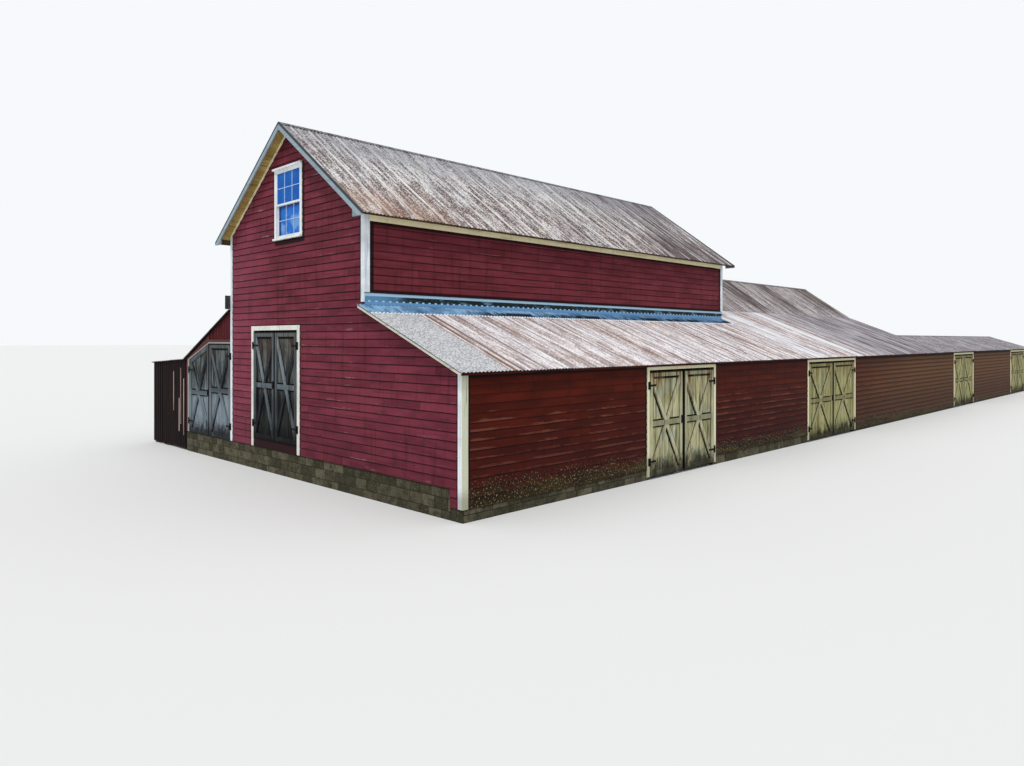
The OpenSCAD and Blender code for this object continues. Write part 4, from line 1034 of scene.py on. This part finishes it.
# Boards along the rakes, each with its top edge between two points, its front and back
# faces, its depth and its paint.
edge_drop, trim_drop = 0.026, ROOF_DROP + 0.002
gable_z = TALL_RIDGE_Z - ROOF_DROP - 0.004
gable_foot = gable_z - RIDGE_X * TALL_PITCH
for name, start, end, y0, y1, deep, paint, slot in (
        ("aisle_rake_edge", (TALL_W + 0.02, TOP_WALL_Z - 0.02 * LOWER_PITCH - edge_drop),
         (RIGHT_X + 0.133, EAVE_Z - 0.133 * LOWER_PITCH - edge_drop), -0.158, -0.140, 0.034,
         old_white, "trim_white"),
        ("aisle_rake_trim", (TALL_W, TOP_WALL_Z - trim_drop), (RIGHT_X, EAVE_Z - trim_drop),
         -0.03, 0.0, 0.045, old_white, "trim_white"),
        ("gable_rake_trim_right", (RIDGE_X, gable_z), (TALL_W, gable_foot), -0.03, 0.0, 0.04,
         trim_cream, "trim_cream"),
        ("gable_rake_trim_left", (0.0, gable_foot), (RIDGE_X, gable_z), -0.03, 0.0, 0.04,
         trim_cream, "trim_cream"),
        ("lean_to_rake_edge", (LEFT_X - 0.058, LEANTO_EAVE_Z - 0.058 * LEANTO_PITCH - edge_drop),
         (-0.03, LEANTO_TOP_Z - 0.03 * LEANTO_PITCH - edge_drop), -0.060, -0.045, 0.018, deck_old_and_shaded,
         "bare_timber")):
    dx, dz = end[0] - start[0], end[1] - start[1]
    piece = add_boards(name, [((0, y0, -deep), (math.hypot(dx, dz), y1, 0))])
    tilt = Matrix.Rotation(-math.atan2(dz, dx), 4, "Y")
    settle(piece, Matrix.Translation(place(start[0], 0, start[1])) @ tilt)
    press(piece, "BEVEL", width=0.002, segments=1)
    finish_piece(piece, paint, slot)

# Foundation. Field stones laid in lime mortar, dark, with olive-green patches and pale specks; the
# faces of the stones stand a little proud of the mortar.
brush = Finish("field_stone", 0.9)
coarse, small = brush.noise(brush.spot, 7.0, 5.0, 0.65), brush.noise(brush.spot, 60.0)
colour = brush.mark("tone").fade(0.0, 1.0).mix(rgb(58, 54, 42), rgb(98, 92, 76))
colour = colour.coat(coarse.fade(0.42, 0.66, 0.75), rgb(40, 42, 24))
colour = colour.coat(small.fade(0.6, 0.7, 0.5), rgb(150, 148, 124))
stone_paint = brush.lay(colour, coarse + small, 0.6, 0.008)
repaint(stone_paint, "stone_foundation")


def stone_courses(length, top):
    """Rough stones in uneven courses, proud of the foundation's face at y = 0."""
    stones = []
    joint = 0.004
    z = 0.0
    while z < top - 0.03:
        high = min(dice.uniform(0.11, 0.19), top - z)
        if top - z - high < 0.06:
            high = top - z
        x = 0.0
        while x < length - 0.02:
            wide = min(dice.uniform(0.18, 0.42), length - x)
            out = dice.uniform(0.006, 0.013)
            stones.append(((x + joint, -out, z + joint),
                           (x + wide - joint, 0.02, z + high - joint)))
            x += wide
        z += high
    return stones


for name, length, top, corner, turn in (
        ("front", 9.62, 0.455, (LEFT_X + 0.015, 0.015, 0), 0),
        ("front_corner", 0.26, 0.19, (RIGHT_X - 0.275, 0.015, 0), 0),
        ("aisle_first", 4.61, 0.19, (RIGHT_X - 0.015, 0.025, 0), 90),
        ("aisle_second", 4.80, 0.19, (RIGHT_X - 0.015, 7.015, 0), 90),
        ("left", 23.16, 0.455, (LEFT_X + 0.015, BARN_L - 0.02, 0), -90),
        ("rear", 6.38, 0.455, (WING_X, BARN_L - 0.015, 0), 180)):
    piece = add_boards("foundation_stones_" + name, stone_courses(length, top))
    press(piece, "BEVEL", width=0.012, segments=2)
    settle(piece, standing(corner, turn))
    finish_piece(piece, stone_paint, "stone")

# Window in the gable. Two sliding sashes of six panes each, the upper one in front,
# with slender glazing bars; the glass carries a painted reflection of a blue sky.
brush = Finish("window_glass", 0.12, gloss=0.05)
brush.shader["IOR"].default_value = 1.5
x, z = brush.x, brush.z
# The blue of the glass is a painted reflection of the sky, paler in painted cloud patches.
reflection_patches = brush.noise(brush.spot, 3.4, 2.0)
lower = reflection_patches.fade(0.46, 0.60, 0.7).mix(rgb(24, 106, 200), rgb(128, 172, 220))
# Painted shade in the lower sash along its left side and top.
lower = lower.coat((x.fade(0.66, 0.62) | z.fade(5.15, 5.19)) * 0.8, rgb(12, 34, 92))
upper = reflection_patches.fade(0.50, 0.62, 0.3).mix(rgb(0, 86, 176), rgb(30, 116, 198))
brush.plug(z.fade(5.245, 5.235).mix(upper, lower), brush.shader["Base Color"])
glass = brush.paint
in_x0, in_x1 = 2.023, 2.887
frames, bars, panes = [], [], []
for out, low, high, foot, head in ((-0.016, 5.222, 5.875, 0.034, 0.026),
                                   (0.020, 4.605, 5.256, 0.045, 0.034)):
    rest, lintel = low + foot, high - head
    frames += [((x, out, low), (x + 0.018, out + 0.030, high)) for x in (2.005, in_x1)]
    frames += [((in_x0, out, low), (in_x1, out + 0.030, rest)),
               ((in_x0, out, lintel), (in_x1, out + 0.030, high))]
    panes.append(((in_x0 - 0.003, out + 0.014, rest - 0.003),
                  (in_x1 + 0.003, out + 0.018, lintel + 0.003)))
    bars += [((x - 0.007, out + 0.004, rest), (x + 0.007, out + 0.024, lintel))
             for x in (in_x0 + 0.288, in_x0 + 0.576)]
    middle = (rest + lintel) / 2
    bars.append(((in_x0, out + 0.005, middle - 0.007), (in_x1, out + 0.023, middle + 0.007)))
bar_paint = trim_finish("glazing_bar_paint", rgb(176, 204, 232), rgb(150, 178, 210), 0.3)
put_up("sash_frames", frames, trim_white, "trim_white", "window_sashes")
put_up("glazing_bars", bars, bar_paint, "trim_white", "window_sashes")
put_up("window_panes", panes, glass, "glass", "window_glass")


# Door leaves. Each is a set of upright boards nailed behind a flat frame of stiles,
# three rails and a full-height cross, hung outside on black strap hinges.
GAP, BOARD_T, BRACE_T, BRACE_W, CROSS_W = 0.008, 0.025, 0.022, 0.095, 0.085
FRONT_LEAF_H, SIDE_LEAF_H, SIDE_SILL_Z = 2.137, 1.97, 0.06
AWAY = 9.0


def door_finish(name, dark, light, bar_paint, tint, rust, foot_z, grime, black, sides, cracks,
                gloom, bar_dim, far=None):
    """Worn door paint: painted shade and grime beside the bars, mould at the foot, rust up high."""
    brush = Finish(name, 0.85)
    z, tone = brush.z, brush.mark("tone")
    falling, rising = brush.parts(brush.node("UVMap", uv_map="cross_lines")[0])[:2]
    across, up = brush.parts(brush.node("UVMap", uv_map="leaf_place")[0])[:2]
    half, middle, high = (brush.mark(label) for label in ("half_width", "middle_rail", "leaf_high"))
    on_bar, on_board = half.fade(4.0, 5.0), half.fade(5.0, 4.0)
    grain, aged = brush.worn("up", tone)
    run, height = brush.x + brush.y, z - foot_z
    farther = brush.y.fade(-12.7, -7.9)
    colour = grain["Blotch"].fade(0.38, 0.62).mix(dark, light)
    colour = colour.coat(aged["Patches"].fade(0.48, 0.62, 0.7), tint)
    colour = colour.coat(tone.fade(0.0, 1.0, 0.4), dark)
    colour = colour.coat(on_bar * 0.6, bar_paint)
    if far:
        colour = colour.coat(farther * 0.5, far)
    colour = colour.coat(on_bar * tone * bar_dim, black)
    drips = brush.streaks(run * 13.0, z * 0.8, 2.0, 3.0, 0.6).fade(0.46, 0.58, 1.0, 0.15)
    colour = colour.coat(drips * height.fade(1.35, 1.9, rust), rgb(104, 70, 34))
    colour = colour.coat(grain["Grain"].fade(0.50, 0.70, 0.6), grime)
    colour = colour.coat(grain["Checks"] * 0.9, grime)
    splits = brush.streaks(run * 12.0, z * 0.45, 7.0, 3.0, 0.65).fade(0.54, 0.60, cracks)
    colour = colour.coat(splits * on_bar.fade(0.0, 1.0, 0.5, 1.0), black)
    pale = brush.streaks(run * 15.0, z * 0.8, 12.0, 3.0, 0.6).fade(0.54, 0.62, 0.55)
    colour = colour.coat(pale * on_board, light)
    top, amount, hue = gloom
    colour = colour.coat(height.fade(top, top - 0.5, amount) * on_bar.fade(0.0, 1.0, 0.65, 1.0),
                         hue)
    # Painted shade with grime: bands beside the cross, inside the stiles, under the top rail and
    # along the middle rail.
    edges = []
    for line, way, wide, much in ((falling, -1, 0.060, sides[0]), (falling, 1, 0.050, sides[1]),
                                  (rising, 1, 0.040, sides[2]), (rising, -1, 0.055, sides[3])):
        past = line * way - CROSS_W / 2
        edges.append(past.fade(-0.004, 0.003) * past.fade(wide, wide - 0.012) * (farther | much))
    past_stile, past_top = half - abs(across) - BRACE_W, high - BRACE_W - up
    past_rail = abs(up - middle) - BRACE_W / 2
    for past, soft, wide, much in ((past_stile, 0.003, 0.030, 0.8), (past_top, 0.004, 0.052, 1.0),
                                   (past_rail, 0.003, 0.038, 1.0)):
        edges.append(past.fade(0.0, soft) * past.fade(wide, wide - 0.012, much))
    beside = edges[0]
    for edge in edges[1:]:
        beside |= edge
    beside = beside * on_board * aged["Patches"].fade(0.34, 0.50, 1.0, 0.7)
    # Painted shade along the leaf's meeting edge and under its head.
    meeting = (half % AWAY - across).fade(0.030, 0.022, 0.95)
    crown = (high % AWAY - up).fade(0.030, 0.020, 0.95)
    hidden = falling.fade(-4.0, -5.0) * on_board
    colour = colour.coat((beside | meeting | crown) * (1.0 - hidden), black)
    low = height + brush.streaks(run * 5.0, z * 2.5, 6.0, 5.0, 0.75).fade(0.3, 0.7, 0.16, -0.16)
    colour = colour.coat(low.fade(0.46, 0.04, 0.9), black)
    return brush.lay(colour, grain["Grain"] - grain["Checks"], 0.5, 0.003)


brush = Finish("black_iron", 0.6, 0.2)
flecks = brush.noise(brush.spot, 40.0)
iron = brush.lay(flecks.fade(0.55, 0.70).mix(rgb(14, 13, 14), rgb(58, 40, 30)), flecks, 0.3, 0.001)


def leaf_lines(piece, wide, high, middle, side, behind_bars):
    """Marks each point's distance from the cross, and its place on the leaf."""
    scale = wide * high / math.hypot(wide, high)
    for label in ("cross_lines", "leaf_place"):
        piece.data.uv_layers.new(name=label)
    cross, spots = (piece.data.uv_layers[label].data for label in ("cross_lines", "leaf_place"))
    for loop in piece.data.loops:
        corner = piece.data.vertices[loop.vertex_index].co
        u, v = corner.x / wide if side > 0 else 1 + corner.x / wide, corner.z / high
        off = 0.0 if behind_bars and corner.y < 0.02 else AWAY
        cross[loop.index].uv = ((u + v - 1) * scale - off, (v - u) * scale - off)
        spots[loop.index].uv = ((u - 0.5) * wide * side, corner.z)
    far = 0.0 if behind_bars else AWAY
    for label, value in (("half_width", wide / 2 + far), ("middle_rail", middle + far),
                         ("leaf_high", high + far)):
        mark_points(piece, label, [value] * len(piece.data.vertices))


def bar(start, end, wide, out):
    """A flat bar between two points of a leaf, from y = 0 out to its face."""
    dx, dz = end[0] - start[0], end[1] - start[1]
    middle = ((start[0] + end[0]) / 2, out / 2, (start[1] + end[1]) / 2)
    return block(middle, (math.hypot(dx, dz), -out, wide), -math.atan2(dz, dx))


def rod(sides, radius, depth, middle, lying=False):
    """A round rod to be added, upright or lying along y."""
    return bpy.ops.mesh.primitive_cylinder_add, {
        "vertices": sides, "radius": radius, "depth": depth, "location": middle,
        "rotation": (math.pi / 2 if lying else 0, 0, 0)}


def door_leaf(name, wide, high, drop, side, spot, turn, paint, slot, tones):
    """One leaf with its hinge edge at x = 0; side is 1 if it reaches to the right."""
    count = round(wide / 0.165)
    joints = [wide * (i + dice.uniform(-0.12, 0.12)) / count for i in range(1, count)]
    edges = [0.0] + joints + [wide]
    boards = []
    for a, b in zip(edges, edges[1:]):
        near, far = sorted((side * (a + 0.002), side * (b - 0.002)))
        low = (near, dice.uniform(0, 0.002), dice.uniform(0.0, 0.008))
        boards.append((low, (far, BOARD_T, high)))
    head = ((side * wide, 0, high), Vector((-side * drop / wide, 0, 1)).normalized())
    leaf = add_boards(name + "_boards", boards)
    if drop:
        trim_off(leaf, *head)
    press(leaf, "BEVEL", width=0.002, segments=1)
    half, middle = BRACE_W / 2, high / 2 - drop / 4
    leaf_lines(leaf, wide, high, middle, side, True)

    over = 0.03
    rise = over * drop / wide
    bars = [
        ((half, 0), (half, high), BRACE_W, 0.0),
        ((wide - half, 0), (wide - half, high), BRACE_W, 0.0),
        ((BRACE_W, half), (wide - BRACE_W, half), BRACE_W, 0.001),
        ((BRACE_W, middle), (wide - BRACE_W, middle), BRACE_W, 0.001),
        ((-over, high - drop - half - rise), (wide + over, high - half + rise), BRACE_W, 0.0015),
        ((half, half), (wide - half, high - half), CROSS_W, 0.002),
        ((wide - half, half), (half, high - drop - half), CROSS_W, 0.004),
    ]
    braces = assemble(name + "_frame", [
        bar((side * start[0], start[1]), (side * end[0], end[1]), across, sunk - BRACE_T)
        for start, end, across, sunk in bars])
    mark_points(braces, "tone", np.repeat(tones[:5] + tones[5:][::side], 8))
    for point, outward in (((0, 0, 0), (-side, 0, 0)), ((side * wide, 0, 0), (side, 0, 0)),
                           ((0, 0, 0), (0, 0, -1)), head):
        trim_off(braces, point, outward)
    press(braces, "BEVEL", width=0.0025, segments=1)
    leaf_lines(braces, wide, high, middle, side, False)

    end_x = min(0.2, wide - BRACE_W) - 0.022
    pin_x, pin_y, strap_y = side * -0.004, -0.036, -0.0245
    hinge_z = (0.09 * (high - drop) + 0.1, 0.91 * (high - drop) - 0.08)
    metal = []
    for z in hinge_z:
        near, far = sorted((pin_x, side * end_x))
        metal += [block(((near + far) / 2, strap_y, z), (far - near, 0.005, 0.036)),
                  rod(16, 0.022, 0.005, (side * end_x, strap_y, z), True),
                  rod(12, 0.0095, 0.046, (pin_x, pin_y, z)),
                  block((side * 0.005, -0.029, z), (0.018, 0.014, 0.046))]
        metal += [rod(8, 0.009, 0.006, (side * bolt, -0.0285, z), True)
                  for bolt in (0.05, 0.11, 0.17)]
    if side > 0:
        grip, grip_z = wide - 0.045, middle + 0.02
        metal += [block((grip, strap_y, grip_z), (0.05, 0.005, 0.16)),
                  rod(12, 0.007, 0.11, (grip, -0.037, grip_z))]
        metal += [block((grip, -0.031, grip_z + end), (0.016, 0.014, 0.012))
                  for end in (-0.05, 0.05)]
    irons = assemble(name + "_hinges", metal)

    near, far = sorted((side * -0.0138, side * -0.0585))
    plate = add_boards(name + "_plates", [
        ((near, -0.0275, z - 0.072), (far, -0.021, z + 0.072)) for z in hinge_z])
    near, far = sorted((pin_x, side * -0.027))
    for z in (z + end for z in hinge_z for end in (-0.0485, 0.0485)):
        extend(plate, [rod(12, 0.0096, 0.047, (pin_x, pin_y, z)),
                       block(((near + far) / 2, -0.029, z), (far - near, 0.0145, 0.047))])

    for piece, stuff, piece_slot, *stands_for, body in (
            (leaf, paint, slot, name, name), (braces, paint, slot, name, name),
            (irons, iron, slot, name, name), (plate, iron, "trim_white", "barn")):
        settle(piece, standing(spot, turn))
        finish_piece(piece, stuff, piece_slot, *stands_for, body=body)


front_x0, front_x1, front_sill = FRONT_DOOR[:3]
green_paint = door_finish(
    "side_door_paint", rgb(142, 138, 98), rgb(196, 192, 152), rgb(190, 188, 156),
    rgb(156, 172, 156), 0.9, SIDE_SILL_Z, rgb(66, 56, 34), rgb(14, 12, 8), (1.0, 0.35, 0.8, 0.15),
    0.65, (0.2, 0.0, rgb(14, 12, 8)), 0.45, rgb(150, 146, 82))
grey_boards = door_finish(
    "front_door_boards", rgb(30, 32, 34), rgb(98, 102, 100), rgb(146, 160, 168), rgb(60, 62, 56),
    0.35, front_sill,
    rgb(24, 22, 22), rgb(8, 8, 10), (0.8, 1.0, 0.6, 1.0), 0.95, (1.2, 0.75, rgb(8, 8, 10)), 0.9)
blue_grey = door_finish(
    "lean_to_door_boards", rgb(34, 38, 40), rgb(120, 130, 134), rgb(96, 106, 110), rgb(70, 76, 72),
    0.2, sill_z,
    rgb(30, 28, 30), rgb(10, 9, 11), (1.0, 0.7, 0.9, 1.0), 0.85, (1.25, 0.42, rgb(170, 186, 200)),
    0.8)

# How black each bar has gone: two stiles, bottom, middle and top rails, rising and falling braces.
front_looks = (grey_boards, "door_grey", [0.50, 0.50, 0.60, 0.35, 0.45, 0.95, 0.0])
lean_looks = (blue_grey, "door_grey", [0.15, 0.30, 0.30, 0.80, 0.10, 0.95, 0.15])
side_looks = (green_paint, "door_green", [0.05, 0.10, 0.40, 0.85, 0.25, 0.15, 0.05])
wide, high = (front_x1 - front_x0) / 2 - 1.5 * GAP, FRONT_LEAF_H
door_leaf("front_door_left", wide, high, 0.0, 1, (front_x0 + GAP, 0, front_sill + GAP), 0,
          *front_looks)
door_leaf("front_door_right", wide, high, 0.0, -1, (front_x1 - GAP, 0, front_sill + GAP), 0,
          *front_looks)
wide, high = (door_x1 - door_x0) / 2 - 1.5 * GAP, head_z - sill_z - 2 * GAP
clip_high = high - 1.5 * GAP * head_slant
door_leaf("leanto_door_left", wide, clip_high, wide * head_slant, 1,
          (door_x0 + GAP, 0, sill_z + GAP), 0, *lean_looks)
door_leaf("leanto_door_right", wide, high, 0.0, -1, (door_x1 - GAP, 0, sill_z + GAP), 0,
          *lean_looks)
for number, (start, end) in enumerate(SIDE_DOORS, 1):
    wide, high = (end - start - 0.05) / 2 - GAP, SIDE_LEAF_H
    for label, side, y in (("left", 1, start + GAP), ("right", -1, end - GAP)):
        door_leaf(f"side_door_{number}_{label}", wide, high, 0.0, side, (RIGHT_X, y, SIDE_SILL_Z),
                  90, *side_looks)
